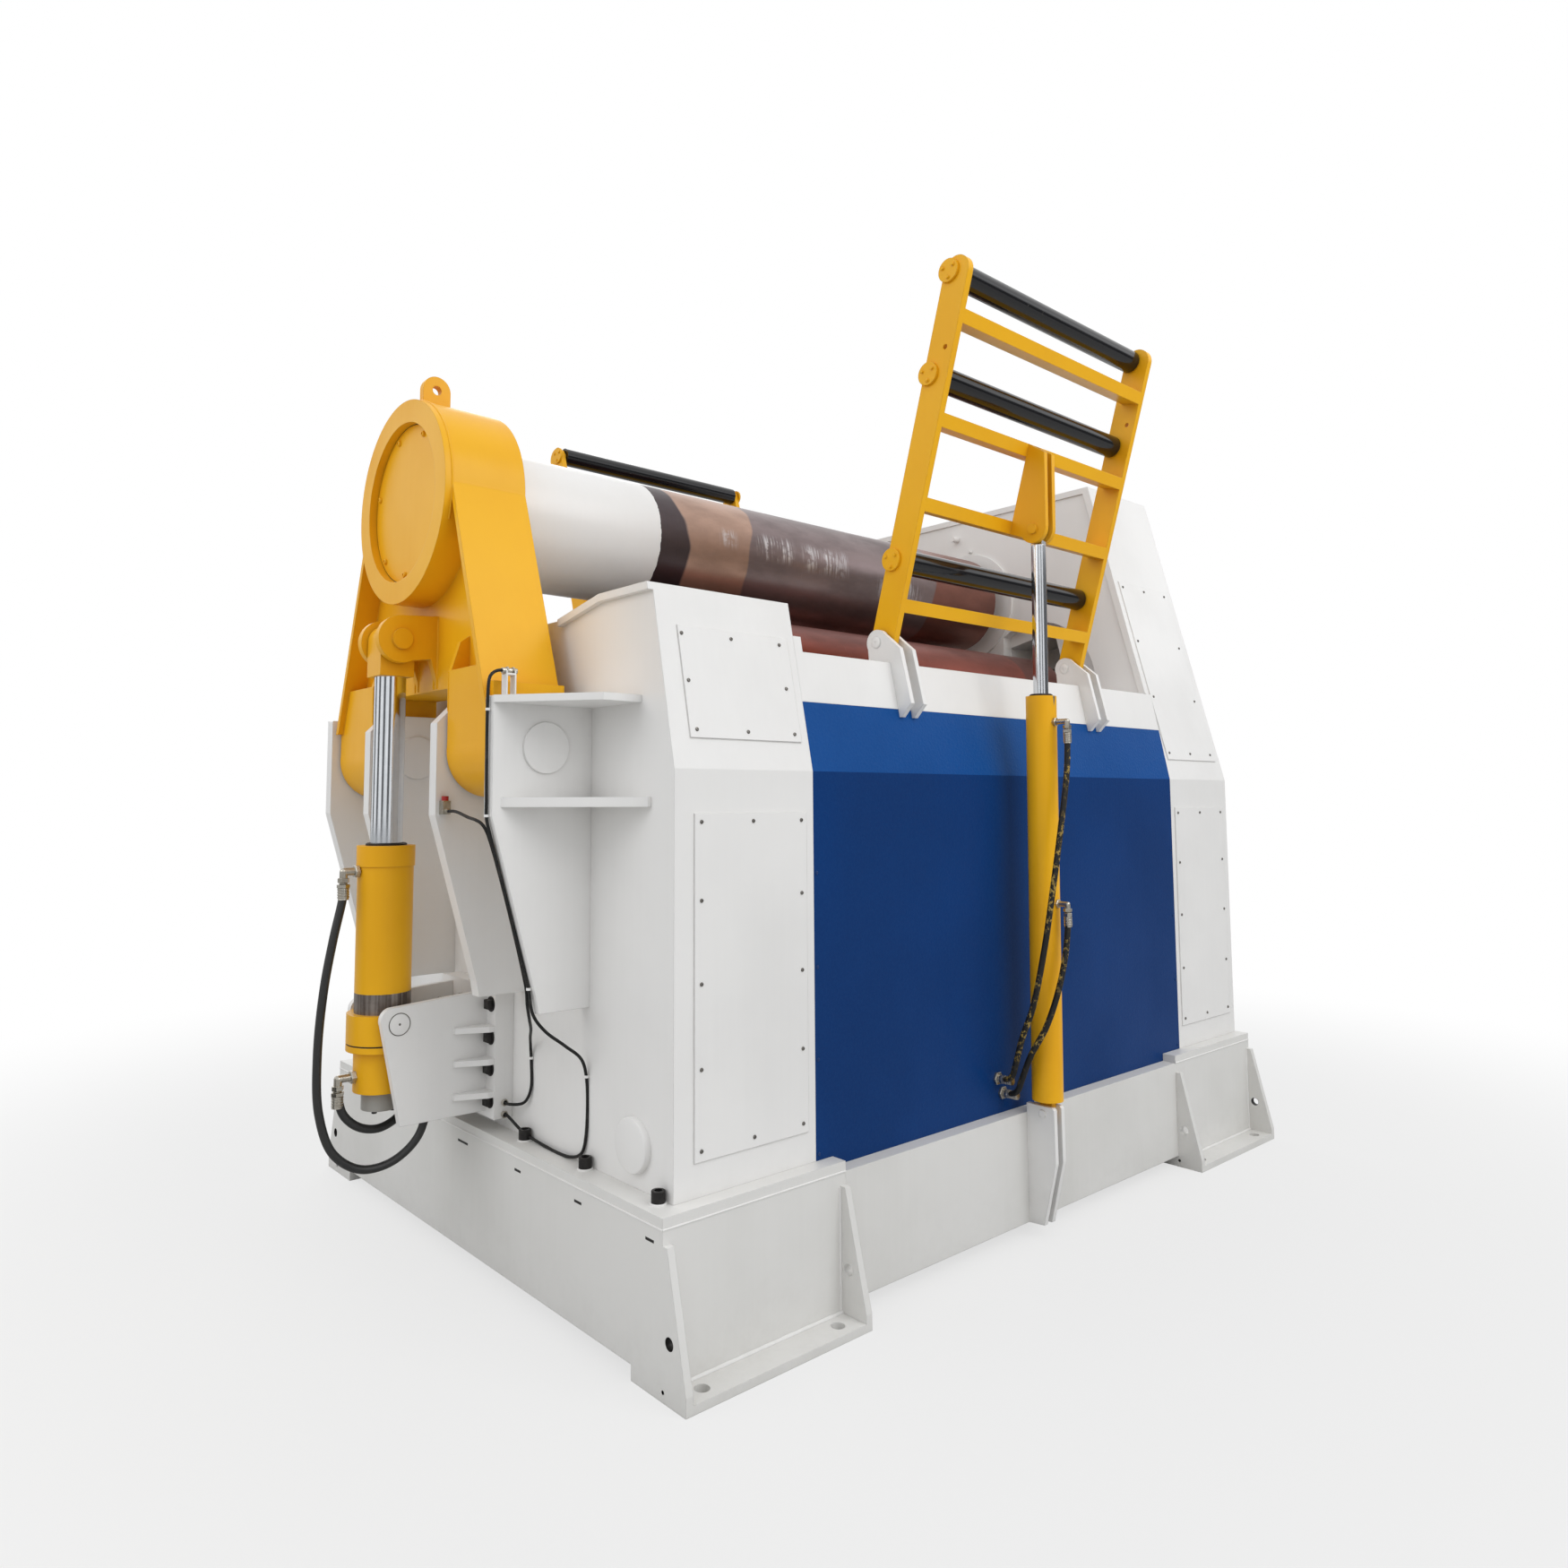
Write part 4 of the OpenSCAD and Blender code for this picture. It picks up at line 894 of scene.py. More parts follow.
# The leaning part of the same blue panel, painted a lighter blue as painted light on its upward
# face.
BLUE_LIT_LEAN_COAT = HammerPaint(srgb(6, 76, 148), srgb(5, 70, 137), srgb(60, 112, 180),
                             srgb(14, 30, 60), rough=0.4, shade_and_dirt=0.06, wear_and_highlight_amount=0.2, marks=0.08,
                             mottle=0.1, pits=1.2)
GREY_COAT = Paint(srgb(112, 119, 124), srgb(98, 105, 110), srgb(176, 178, 178),
                  srgb(46, 42, 38), rough=0.4, shade_and_dirt=0.6, wear_and_highlight_amount=0.8)
PLUG_COAT = Paint(srgb(168, 166, 160), srgb(150, 148, 143), srgb(190, 188, 184), shade_and_dirt=0.5)
RED_PLASTIC = Paint(srgb(190, 34, 30), srgb(160, 24, 22), srgb(214, 90, 80), shade_and_dirt=0.2)
ZINC = Metal(srgb(196, 192, 182), srgb(138, 128, 112), streaks=(50.0, 50.0, 20.0))
BARE = Metal(srgb(150, 142, 136), srgb(84, 74, 68), rough=0.42, streaks=(75.0, 75.0, 1.5),
             contrast=0.9, metal=0.8)
NECK = Metal(srgb(160, 158, 154), srgb(96, 88, 80), rough=0.32, streaks=(120.0, 3.0, 3.0))
OXIDE = Metal(srgb(48, 46, 45), srgb(22, 21, 21), rough=0.45, streaks=(40.0,) * 3, metal=0.6)
DULL = Metal(srgb(128, 125, 120), srgb(74, 70, 66), rough=0.4, streaks=(30.0,) * 3, metal=0.7)
BLOCK_STEEL = Metal(srgb(92, 88, 84), srgb(50, 44, 40), rough=0.45, streaks=(8.0,) * 3,
                    metal=0.7)
HARD_CHROME = Metal(srgb(226, 229, 233), srgb(170, 176, 184), rough=0.09,
                    streaks=(90.0, 90.0, 1.0), contrast=0.35)
HOSE_RUBBER = Rubber(srgb(15, 15, 14), srgb(182, 152, 72), 0.16)
SHEATH = Rubber(srgb(15, 15, 16), srgb(120, 118, 112), 0.12)
TOP_SCALE = RollScale(
    srgb(150, 134, 134), wobble=0.05,
    bands=((-1.2, -0.952, srgb(80, 70, 74)), (-0.952, -0.586, srgb(202, 166, 146)),
           (0.62, 1.2, srgb(150, 99, 86))),
    glint_rubs=(Patch((-0.56, -0.365), (2.64, 2.74)), Patch((-0.29, -0.03), (2.625, 2.735)),
          Patch((-0.76, -0.69), (2.66, 2.73)), Patch((0.2, 0.5), (2.56, 2.66))))
SIDE_SCALE = RollScale(srgb(150, 72, 56), scuffs=0.5, bands=(
    (-1.2, -0.9, srgb(112, 66, 60)), (0.8, 1.2, srgb(118, 70, 62))))

WHITE = Finish("white_enamel", "white_paint", WHITE_COAT)
WHITE_DETAIL = replace(WHITE, name="white_detail", edge=0.0015)
BASE_WHITE = Finish("base_enamel", "white_paint", BASE_COAT)
YELLOW = Finish("yellow_enamel", "yellow_paint", YELLOW_COAT, shine=0.25)
YELLOW_DETAIL = replace(YELLOW, name="yellow_detail", edge=0.0015)
# Above the bend the panel takes the lighter coat: painted light where it faces up.
BLUE = Finish("blue_hammer", "blue_paint", BLUE_COAT, depth=0.0012, bump=0.35, shine=0.12,
              zones=(Zone(BLUE_LIT_LEAN_COAT, z=(1.697, FAR)), Zone(ZINC, y=(-FAR, -1.1345))))
BLUE_DETAIL = Finish("blue_detail", "blue_paint", BLUE_COAT, edge=0.0012, shine=0.4)
GREY = Finish("grey_enamel", "grey_paint", GREY_COAT)
CHROME = Finish("hard_chrome", "chrome_rod", HARD_CHROME, bump=0.04)
BLACK_TUBE = Finish("roller_black", "black_roller", edge=0.003, bump=0.05,
                    ground=Enamel(srgb(11, 12, 16), srgb(120, 116, 110)))
HOSE = Finish("hose_rubber", "hose_rubber", HOSE_RUBBER, edge=0.001, bump=0.5, shine=0.3)
WRAPPED_HOSE = replace(HOSE, name="wrapped_hose", ground=replace(HOSE_RUBBER, amount=0.85))
CABLE = Finish("cable_sheath", "hose_rubber", SHEATH, edge=0.001, shine=0.3)
STEEL = Finish("zinc_fitting", "dark_steel", ZINC, edge=0.0012, bump=0.12)
SCREW = Finish("dull_screw", "dark_steel", DULL, edge=0.001)
BOLT = Finish("black_oxide", "dark_steel", OXIDE, edge=0.0012)
BLOCKS = Finish("block_steel", "dark_steel", BLOCK_STEEL)
TOP_ROLL = Finish("top_roll_finish", "scaled_roll", TOP_SCALE, edge=0.003, bump=0.12, zones=(
    Zone(WHITE_COAT, x=(-FAR, -1.0795), ragged=0.012), Zone(NECK, x=(1.102, FAR)),
    Zone(NECK, x=(-FAR, -1.7395))))
SIDE_ROLL = Finish("side_roll_finish", "scaled_roll", SIDE_SCALE, bump=0.12, zones=(
    Zone(NECK, x=(-FAR, -1.081)), Zone(NECK, x=(1.102, FAR))))
DROP_BARREL = Finish("drop_barrel_finish", "yellow_paint", YELLOW_COAT, shine=0.25, zones=(
    Zone(BARE, z=(0.8975, 0.9645), ragged=0.002), Zone(PLUG_COAT, z=(-FAR, 0.6395)),
    Zone(ZINC, x=(-FAR, -2.1535), z=(0.9645, 1.3845)),
    Zone(ZINC, x=(-FAR, -2.1535), z=(0.6395, 0.7745))), edge=0.003)
SUPPORT_BARREL = Finish("support_barrel_finish", "yellow_paint", YELLOW_COAT, shine=0.25,
                        edge=0.003, zones=(Zone(ZINC, y=(-FAR, -1.332), z=(1.1, FAR)),))
BRACKET = Finish("bracket_white", "white_paint", WHITE_COAT, zones=(
    Zone(ZINC, (-1.792, -1.7472), (-0.085, 0.06), (0.87, 0.92)),
    Zone(ZINC, (-1.722, -1.702), (-0.226, -0.2102), (0.525, 0.586))))
CHEEK_SENSORS = Finish("cheek_white", "white_paint", WHITE_COAT, zones=(
    Zone(ZINC, (-1.9895, -1.937), (-0.684, -0.66), (1.99, 2.014)),
    Zone(ZINC, (-2.0125, -1.9835), (-0.347, -0.3045), (1.5615, 1.6062)),
    Zone(RED_PLASTIC, (-2.012, -1.984), (-0.334, -0.3062), (1.6062, 1.623))))
DROP_ROD = Finish("drop_rod_finish", "chrome_rod", HARD_CHROME, edge=0.003, bump=0.05, zones=(
    Zone(YELLOW_COAT, z=(2.034, FAR)), Zone(OXIDE, z=(-FAR, 1.33))))

NODE_FINISH: dict[str, Finish] = {name: finish for finish, names in (
    (BASE_WHITE, "base_end_left base_end_right base_beam_front base_beam_rear"),
    (WHITE, "left_stand right_stand stand_covers front_tie_beam rear_tie_beam cheeks_rear "
            "right_bearing_ring front_cylinder_foot rear_cylinder_foot"),
    (BRACKET, "trunnion_bracket"),
    (CHEEK_SENSORS, "cheeks_front"),
    (BLUE, "front_panel rear_panel"),
    (GREY, "top_gearbox bottom_gearbox"),
    (TOP_ROLL, "top_roll"),
    (SIDE_ROLL, "bottom_roll front_side_roll rear_side_roll"),
    (BLOCKS, "bottom_roll_blocks front_side_blocks rear_side_blocks"),
    (YELLOW, "drop_end drop_cover front_support_frame rear_support_frame "
             "front_support_axles rear_support_axles rear_support_barrel"),
    (DROP_BARREL, "drop_barrel"),
    (DROP_ROD, "drop_rod"),
    (SUPPORT_BARREL, "front_support_barrel"),
    (BLACK_TUBE, "front_roller_top front_roller_mid front_roller_low rear_support_rollers"),
    (CHROME, "front_support_rod rear_support_rod")) for name in names.split()}


def dress_nodes() -> None:
    """Gives every CAD node that shows its finish."""
    for name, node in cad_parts.items():
        finish = NODE_FINISH.get(name)
        if finish is None:
            continue
        node.data.materials.clear()
        node.data.materials.append(finish.material())
    LOG.info("dressed %d of %d nodes", len(NODE_FINISH), len(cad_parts))


# ---------------------------------------------------------------- hoses and cables

@dataclass(frozen=True)
class Hose:
    """A hose or cable that the machine holds from end to end.

    The route repeats the given points of the construction, in millimetres.
    """

    node: str
    body: str
    diameter: float
    finish: Finish
    route: tuple[Point, ...]
    stiffness: str = "medium"
    lay: str = "hanging"
    ferrules: bool = True

    def build(self) -> None:
        line = smooth_route([mm(*p) for p in self.route])
        tube = Form().tube(line, self.diameter / 2, 16).piece(self.node + "_skin", self.finish,
                                                              self.body)
        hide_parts(self.node)
        [self._ferrules(line)] if self.ferrules else ()

    def _ferrules(self, line: Sequence[Vector]) -> bpy.types.Object:
        """Crimped sleeves and union nuts on both ends.

        Args:
            line: The hose's centreline.

        Returns:
            The piece with both ends' fittings.
        """
        form, r = Form(), self.diameter / 2
        crimp = ((1.36, 0), (1.36, 5), (1.24, 6), (1.24, 7.5))
        sleeve = [(r * 1.02, 14), (r * 1.34, 14.5),
                  *((r * wide, 16 + 8.5 * k + up) for k in range(4) for wide, up in crimp),
                  (r * 1.3, 52), (r * 1.02, 53)]
        nut = [(r * 1.25, 0.5), (r * 1.5, 2), (r * 1.5, 12.5), (r * 1.3, 14)]
        for end, inner in ((line[0], line[1]), (line[-1], line[-2])):
            place = aim(end, inner - end)
            form.lathe(sleeve, place, 28).lathe(nut, place, 6)
        return form.piece(self.node + "_ferrules", STEEL, self.body, 25.0)


HOSES = (
    Hose("drop_hose_upper", "drop_barrel", 28, HOSE, (
        (-2204, 0, 1330), (-2204, 0, 1290), (-2232, 0, 1150), (-2258, 0, 990), (-2273, 0, 780),
        (-2264, -4, 590), (-2218, -14, 460), (-2130, -26, 396), (-2030, -40, 404),
        (-1946, -51, 472), (-1914, -55, 600), (-1916, -55, 781), (-1901, -55, 837),
        (-1860, -55, 878), (-1804, -55, 893), (-1790.3, -55, 893))),
    Hose("drop_hose_lower", "drop_barrel", 28, HOSE, (
        (-2204, 0, 653), (-2204, 0, 648), (-2185, 0, 578), (-2134, -2, 528), (-2065, 2, 509),
        (-1996, 14, 528), (-1945, 26, 578), (-1926, 32, 648), (-1916, 32, 781), (-1901, 32, 837),
        (-1860, 32, 878), (-1804, 32, 893), (-1790.3, 32, 893))),
    Hose("support_hose_upper", "front_support_barrel", 22, WRAPPED_HOSE, (
        (-40, -1385, 1865), (-40, -1385, 1830), (-56, -1388, 1700), (-100, -1385, 1500),
        (-150, -1380, 1290), (-192, -1362, 1060), (-217, -1326, 860), (-221, -1282, 750),
        (-210, -1243, 648), (-194, -1214, 596), (-181, -1178, 575), (-175, -1157, 572),
        (-175, -1150.3, 572))),
    Hose("support_hose_lower", "front_support_barrel", 22, WRAPPED_HOSE, (
        (-40, -1366, 1188), (-40, -1366, 1155), (-60, -1365, 1040), (-98, -1357, 915),
        (-142, -1331, 785), (-174, -1284, 680), (-172, -1243, 591), (-162, -1214, 539),
        (-151, -1178, 518), (-146, -1157, 515), (-146, -1150.3, 515))),
    Hose("sensor_cable", "root", 10, CABLE, (
        (-1988.3, -672, 2002), (-1994, -672, 2002), (-2012, -672, 1996), (-2026, -672, 1982),
        (-2031, -672, 1960), (-2032, -672, 1600), (-2031, -672, 1555), (-2017, -672, 1498),
        (-1883, -672, 1038), (-1866, -674, 955), (-1829, -682, 903), (-1762, -690, 850),
        (-1703, -691, 800), (-1683, -690, 735), (-1683, -688, 560), (-1685, -668, 508),
        (-1689, -610, 483), (-1690, -400, 483), (-1698, -310, 500), (-1712, -240, 535),
        (-1712, -224.3, 535)), "limp", "loose", False),
    Hose("switch_cable", "root", 10, CABLE, (
        (-1998, -346.3, 1572), (-1999, -390, 1572), (-2028, -550, 1554), (-2036, -618, 1546),
        (-2031, -642, 1536), (-2020, -656, 1510), (-1883, -658, 1038), (-1871, -646, 985),
        (-1835, -598, 925), (-1790, -528, 882), (-1726, -412, 826), (-1694, -358, 788),
        (-1683, -344, 735), (-1684, -346, 640), (-1692, -318, 592), (-1712, -246, 575),
        (-1712, -224.3, 575)), "limp", "loose", False),
)


# ---------------------------------------------------------------- sub-assemblies

@dataclass
class BaseFittings:
    """Hold-down bolts, dark painted shade in the inspection slot openings and gusset holes, and
    welds of the base.
    """

    ledge: Pair = (-1700, 474)
    bolt_y: tuple[float, ...] = (338, 713, 1094)
    slot_y: tuple[float, ...] = (18, 394, 762, 1131)
    slot_z: float = 402
    slot_size: Point = (8, 40, 0.8)
    end_x: float = 1756
    inner_x: float = 1044
    face_y: float = 1190
    seat_z: float = 443
    foot: Pair = (1194, 27)
    gussets_x: Pair = (1729, 1071)
    gusset_z: Pair = (30, 400)
    gusset_t: float = 25
    hole: Pair = (1222, 160)

    def build(self) -> None:
        """Makes the bolts, the painted shade of slot openings and holes, and the welds."""
        bolts, washers, shade_marks, welds = Form(), Form(), Form(), Form()
        for side in SIDES:
            for y in self.bolt_y:
                place = aim(mm(self.ledge[0], side * y, self.ledge[1]), UP)
                washers.lathe([(25, SINK), (25, 3.5), (23.5, 5), (6, 5)], place)
                bolts.lathe([(20.5, 4.5), (20.5, 36), (19, 37.5), (11.5, 37.5), (11.5, 20),
                             (0, 20)], place, 28)
            # Thin dark boxes on the end face: painted shade standing for the inside of each
            # inspection slot.
            for y in self.slot_y:
                shade_marks.box(self.slot_size, aim(mm(SINK - self.end_x, side * y, self.slot_z),
                                              RIGHT, 90.0))
        for side in SIDES:
            end, inner = side * self.end_x, side * self.inner_x
            for front in SIDES:
                # Dark liners inside the gusset holes: painted shade for the holes' depth.
                start = end - self.gusset_t if side > 0 else end
                shade_marks.ring((18.2, 16.8), (0.2, self.gusset_t - 0.2),
                           aim(mm(start, front * self.hole[0], self.hole[1]), RIGHT), 32)
                y, foot_y = front * self.face_y, front * self.foot[0]
                welds.bead((end, y, self.seat_z), (inner, y, self.seat_z), 3)
                welds.bead((end, foot_y, self.foot[1]), (inner, foot_y, self.foot[1]), 6)
                for x in self.gussets_x:
                    welds.bead(*((side * x, y, z) for z in self.gusset_z))
            welds.bead((end, -self.face_y, self.seat_z), (end, self.face_y, self.seat_z), 3)
        bolts.piece("hold_down_bolts", BOLT)
        washers.piece("hold_down_washers", WHITE_DETAIL)
        shade_marks.piece("slot_and_hole_shade", BOLT)
        welds.piece("base_welds", WHITE_DETAIL)


@dataclass
class StandFittings:
    """Screws of the stands' upright and leaning covers, and the round bosses."""

    face_y: float = 1133
    bend_z: float = 1697
    cover_t: float = 5
    low_x: tuple[Pair, ...] = ((-1580, -1176), (1250, 1670))
    low_z: tuple[float, ...] = (602, 830, 1072, 1312, 1541)
    left_lean: tuple[Pair, ...] = (
        (-1593, 2110), (-1397, 2110), (-1192, 2110), (-1588, 1964), (-1188, 1964), (-1579, 1815),
        (-1377, 1815), (-1180, 1815))
    right_lean: tuple[Pair, ...] = (
        (1250, 2645), (1450, 2645), (1652, 2645), (1250, 2369), (1652, 2369), (1250, 2093),
        (1652, 2093), (1250, 1822), (1450, 1822), (1652, 1822))
    slopes: Pair = (0.2, 375 / 1472)
    screw_size: Pair = (6.2, 4)
    boss: Point = (-1677, 946, 597)

    def build(self) -> None:
        """Makes the screws and the bosses."""
        screws, bosses = Form(), Form()
        ends = (self.low_z[0], self.low_z[-1])
        spots = [(x, z, 0.0) for pair in self.low_x for x in pair for z in self.low_z]
        spots += [(sum(pair) / 2, z, 0.0) for pair in self.low_x for z in ends]
        for slope, leaning in zip(self.slopes, (self.left_lean, self.right_lean)):
            spots += [(x, z, slope) for x, z in leaning]
        for side in SIDES:
            for x, z, slope in spots:
                y = self.face_y - (z - self.bend_z) * slope + self.cover_t
                place = aim(mm(x, side * y, z), (0, side, slope))
                screw(screws, place, self.screw_size, Head.ROUND)
            x, y, z = self.boss
            bosses.lathe([(80, SINK), (80, 15), (77, 19.5), (70, 22), (0, 22)],
                         aim(mm(x, side * y, z), LEFT), 56)
        screws.piece("cover_screws", SCREW)
        bosses.piece("stand_bosses", WHITE_DETAIL)


@dataclass
class PanelFittings:
    """Screws along the ends of the two blue panels and the hose unions."""

    ends_x: Pair = (-1105, 1180)
    rows_z: tuple[float, ...] = (494, 784, 1073, 1371)
    face_y: float = 1133
    screw_size: Pair = (6, 3.5)
    unions: tuple[Pair, ...] = ((-175, 572), (-146, 515))

    def build(self) -> None:
        """Makes the screws and the union nuts."""
        screws, nuts = Form(), Form()
        for side in SIDES:
            for x in self.ends_x:
                for z in self.rows_z:
                    place = aim(mm(x, side * self.face_y, z), (0, side, 0))
                    screw(screws, place, self.screw_size, Head.ROUND)
        for x, z in self.unions:
            nuts.lathe([(24.5, SINK), (24.5, 9), (22.5, 10.5), (16, 10.5)],
                       aim(mm(x, -self.face_y, z), FRONT), 6)
        screws.piece("panel_screws", BLUE_DETAIL)
        nuts.piece("panel_union_nuts", STEEL)


@dataclass
class TrunnionFittings:
    """Bolts of the trunnion bracket, the trunnions' end faces and the pad's union nuts."""

    pad_x: float = -1747
    bolt_y: float = 178
    bolt_z: tuple[float, ...] = (905, 793, 688, 580)
    trunnion: Point = (-2060, 146, 873)
    unions_y: Pair = (-55, 32)
    union_z: float = 893

    def build(self) -> None:
        """Makes the bolts, rings, faces and nuts."""
        bolts, rings, faces, nuts = Form(), Form(), Form(), Form()
        x, ear_y, centre_z = self.trunnion
        for side in SIDES:
            for z in self.bolt_z:
                place = aim(mm(self.pad_x, side * self.bolt_y, z), LEFT, 45.0)
                bolts.lathe([(26, SINK), (26, 3), (25, 4)], place)
                bolts.lathe([(22.5, 4), (22.5, 19), (21, 21), (0, 21)], place, 4)
            face = aim(mm(x, side * ear_y, centre_z), (0, side, 0))
            rings.ring((37.2, 34.5), (SINK, 1.2), face, 48)
            rings.lathe([(4, 0.6), (4, 1.4), (0, 1.4)], face, 20)
            faces.lathe([(34.4, SINK), (34.4, 0.6), (33.4, 1), (0, 1)], face, 48)
        for y in self.unions_y:
            place = aim(mm(self.pad_x, y, self.union_z), LEFT)
            nuts.lathe([(26, SINK), (26, 14), (24, 16), (18, 16)], place, 6)
            nuts.lathe([(22.5, 28), (22.5, 41), (18, 43)], place, 6)
        bolts.piece("trunnion_bracket_bolts", BOLT)
        rings.piece("trunnion_end_rings", SCREW)
        faces.piece("trunnion_end_faces", WHITE_DETAIL)
        nuts.piece("pad_union_nuts", STEEL)


@dataclass
class DropEndFittings:
    """Cover screws, a dark ring of painted shade in the gap round the cover, and the weld seams of
    the drop end.
    """

    axis_z: float = 2660
    cover_x: float = -2012
    gap_r: Pair = (282.9, 280.1)
    gap_depth: float = 3
    screw_size: Pair = (11, 9)
    screw_circle: float = 255
    screw_angles: tuple[float, ...] = (-88, -44, 15, 71, 119, 165, -136)
    web_x: float = -1930
    web_y: Pair = (64, 90)
    web_z: Pair = (1996, 2240)
    horn: Pair = (-1994, 318)
    horn_z: Pair = (1900, 2030)
    arc: Pair = (-2015, 362)

    def _round(self, x: float, radius: float, angle: float) -> Vector:
        """A point on a circle round the roll's axis, at an angle in degrees."""
        y, z = radius * math.cos(math.radians(angle)), radius * math.sin(math.radians(angle))
        return mm(x, y, self.axis_z + z)

    def build(self) -> None:
        """Makes the painted shade in the gap, the screws and the welds."""
        screws, welds, gap = Form(), Form(), Form()
        foot = mm(self.cover_x + self.gap_depth, 0, self.axis_z)
        # A dark ring set into the gap round the cover: painted shade of the recess's depth.
        gap.ring(self.gap_r, (0, 2), aim(foot, LEFT), 96)
        for angle in self.screw_angles:
            at = self._round(self.cover_x, self.screw_circle, angle)
            screw(screws, aim(at, LEFT), self.screw_size, Head.ROUND)
        for side in SIDES:
            for y in self.web_y:
                welds.bead(*((self.web_x, side * y, z) for z in self.web_z))
            x, y = self.horn
            welds.bead(*((x, side * y, z) for z in self.horn_z), radius=3)
        welds.tube([self._round(*self.arc, angle) for angle in range(-20, 201, 5)], 4)
        gap.piece("ring_cover_gap_shade", BOLT, "drop_end")
        screws.piece("ring_cover_screws", YELLOW_DETAIL, "drop_end")
        welds.piece("drop_end_welds", YELLOW_DETAIL, "drop_end")


@dataclass
class DropCylinderFittings:
    """Elbow nuts, wiper, gap ring and end bolts of the drop-end cylinder."""

    centre_x: float = -2060
    ports: tuple[Pair, ...] = ((-2154, 1370), (-2150, 693))
    elbow_x: float = -2204
    elbow_drop: float = 20
    top_z: float = 1455
    gap_z: float = 796.2
    foot_z: float = 579
    bolt_circle: float = 45
    bolt_size: Pair = (9, 9)

    def build(self) -> None:
        """Makes the elbows' nuts, the wiper, the gap ring and the end bolts."""
        nuts, seals, tie = Form(), Form(), Form()
        for skin, z in self.ports:
            nuts.lathe([(22.5, -1), (22.5, 13), (20.5, 15), (13, 15)],
                       aim(mm(skin, 0, z), LEFT), 6)
            nuts.lathe([(13, 0), (19.5, 1), (19.5, 14), (16.5, 16.5)],
                       aim(mm(self.elbow_x, 0, z - self.elbow_drop), DOWN), 6)
        seals.lathe([(68, SINK), (68, 6), (62, 9), (58, 9), (58, SINK)],
                    aim(mm(self.centre_x, 0, self.top_z), UP), 48, hoop=True)
        seals.ring((112.5, 100), (0, 4.5), aim(mm(self.centre_x, 0, self.gap_z), UP), 64)
        foot = mm(self.centre_x, 0, self.foot_z)
        for place in circle_places(foot, DOWN, self.bolt_circle, 4):
            screw(tie, place, self.bolt_size)
        nuts.piece("drop_elbow_nuts", STEEL, "drop_barrel", 25.0)
        seals.piece("drop_cylinder_seals", BOLT, "drop_barrel")
        tie.piece("drop_cylinder_end_bolts", BOLT, "drop_barrel")


@dataclass
class SupportFittings:
    """Cap bolts, faces of the hinge pins and the cylinder's gland of one plate support."""

    side: int
    lean: float = 16.2
    hinge: Pair = (986, 2179)
    rollers: tuple[float, ...] = (306, 975, 1335)
    roller_out: float = 30
    middle_x: float = 10.5
    cap_x: float = 635
    bolt_circle: float = 26
    bolt_size: Pair = (6.2, 6)
    brackets_x: Pair = (-600.5, 621.5)
    pin_x: float = 46
    cylinder_x: float = -40
    foot: Pair = (1259, 449.5)
    lug: Pair = (525, -156)
    gland_at: float = 1546

    def _at(self, along: float, across: float) -> Pair:
        """Y and Z of a point of the raised frame, in millimetres.

        Args:
            along: Distance up the frame from its hinge.
            across: Distance from the bars' middle line towards the rolls.

        Returns:
            The point's Y and Z.
        """
        a = math.radians(self.lean)
        y = -self.hinge[0] - along * math.sin(a) + across * math.cos(a)
        return -self.side * y, self.hinge[1] + along * math.cos(a) + across * math.sin(a)

    def build(self) -> None:
        """Makes the fittings of the frame and its cylinder."""
        name = "front" if self.side < 0 else "rear"
        bolts, pins, gland = Form(), Form(), Form()
        for along in self.rollers:
            y, z = self._at(along, self.roller_out)
            for end in SIDES:
                centre = mm(self.middle_x + end * self.cap_x, y, z)
                for place in circle_places(centre, (end, 0, 0), self.bolt_circle, 3, 30.0):
                    screw(bolts, place, self.bolt_size, washer=1.4)
        for x in self.brackets_x:
            for end in SIDES:
                centre = mm(x + end * self.pin_x, self.side * self.hinge[0], self.hinge[1])
                pins.lathe([(19.5, SINK), (19.5, 2.2), (17.5, 3), (5, 3), (5, 1), (0, 1)],
                           aim(centre, (end, 0, 0)))
        foot = Vector((0, self.side * self.foot[0], self.foot[1]))
        axis = (Vector((0, *self._at(*self.lug))) - foot).normalized()
        top = foot + axis * self.gland_at
        gland.lathe([(43, SINK), (43, 6), (38, 9), (29.5, 9), (29.5, 1)],
                    aim(mm(self.cylinder_x, top.y, top.z), axis), 40)
        bolts.piece(name + "_cap_bolts", YELLOW_DETAIL, name + "_support")
        pins.piece(name + "_hinge_pin_faces", WHITE_DETAIL)
        gland.piece(name + "_cylinder_gland", BOLT, name + "_support_barrel")


@dataclass
class SupportPorts:
    """Elbow nuts on the front support cylinder."""

    middle_x: float = -40
    elbow_drop: float = 14
    ports: tuple[Point, ...] = ((-1385, 1895, -1328), (-1366, 1218, -1318))

    def build(self) -> None:
        """Makes the nuts on the barrel and those that turn down to the hoses."""
        nuts = Form()
        for y, z, skin in self.ports:
            nuts.lathe([(17, -4), (17, 12), (15, 13.5), (10.5, 13.5)],
                       aim(mm(self.middle_x, skin, z), FRONT), 6)
            nuts.lathe([(10.5, 0), (15.5, 1), (15.5, 12), (12.5, 14)],
                       aim(mm(self.middle_x, y, z - self.elbow_drop), DOWN), 6)
        nuts.piece("support_elbow_nuts", STEEL, "front_support_barrel", 25.0)


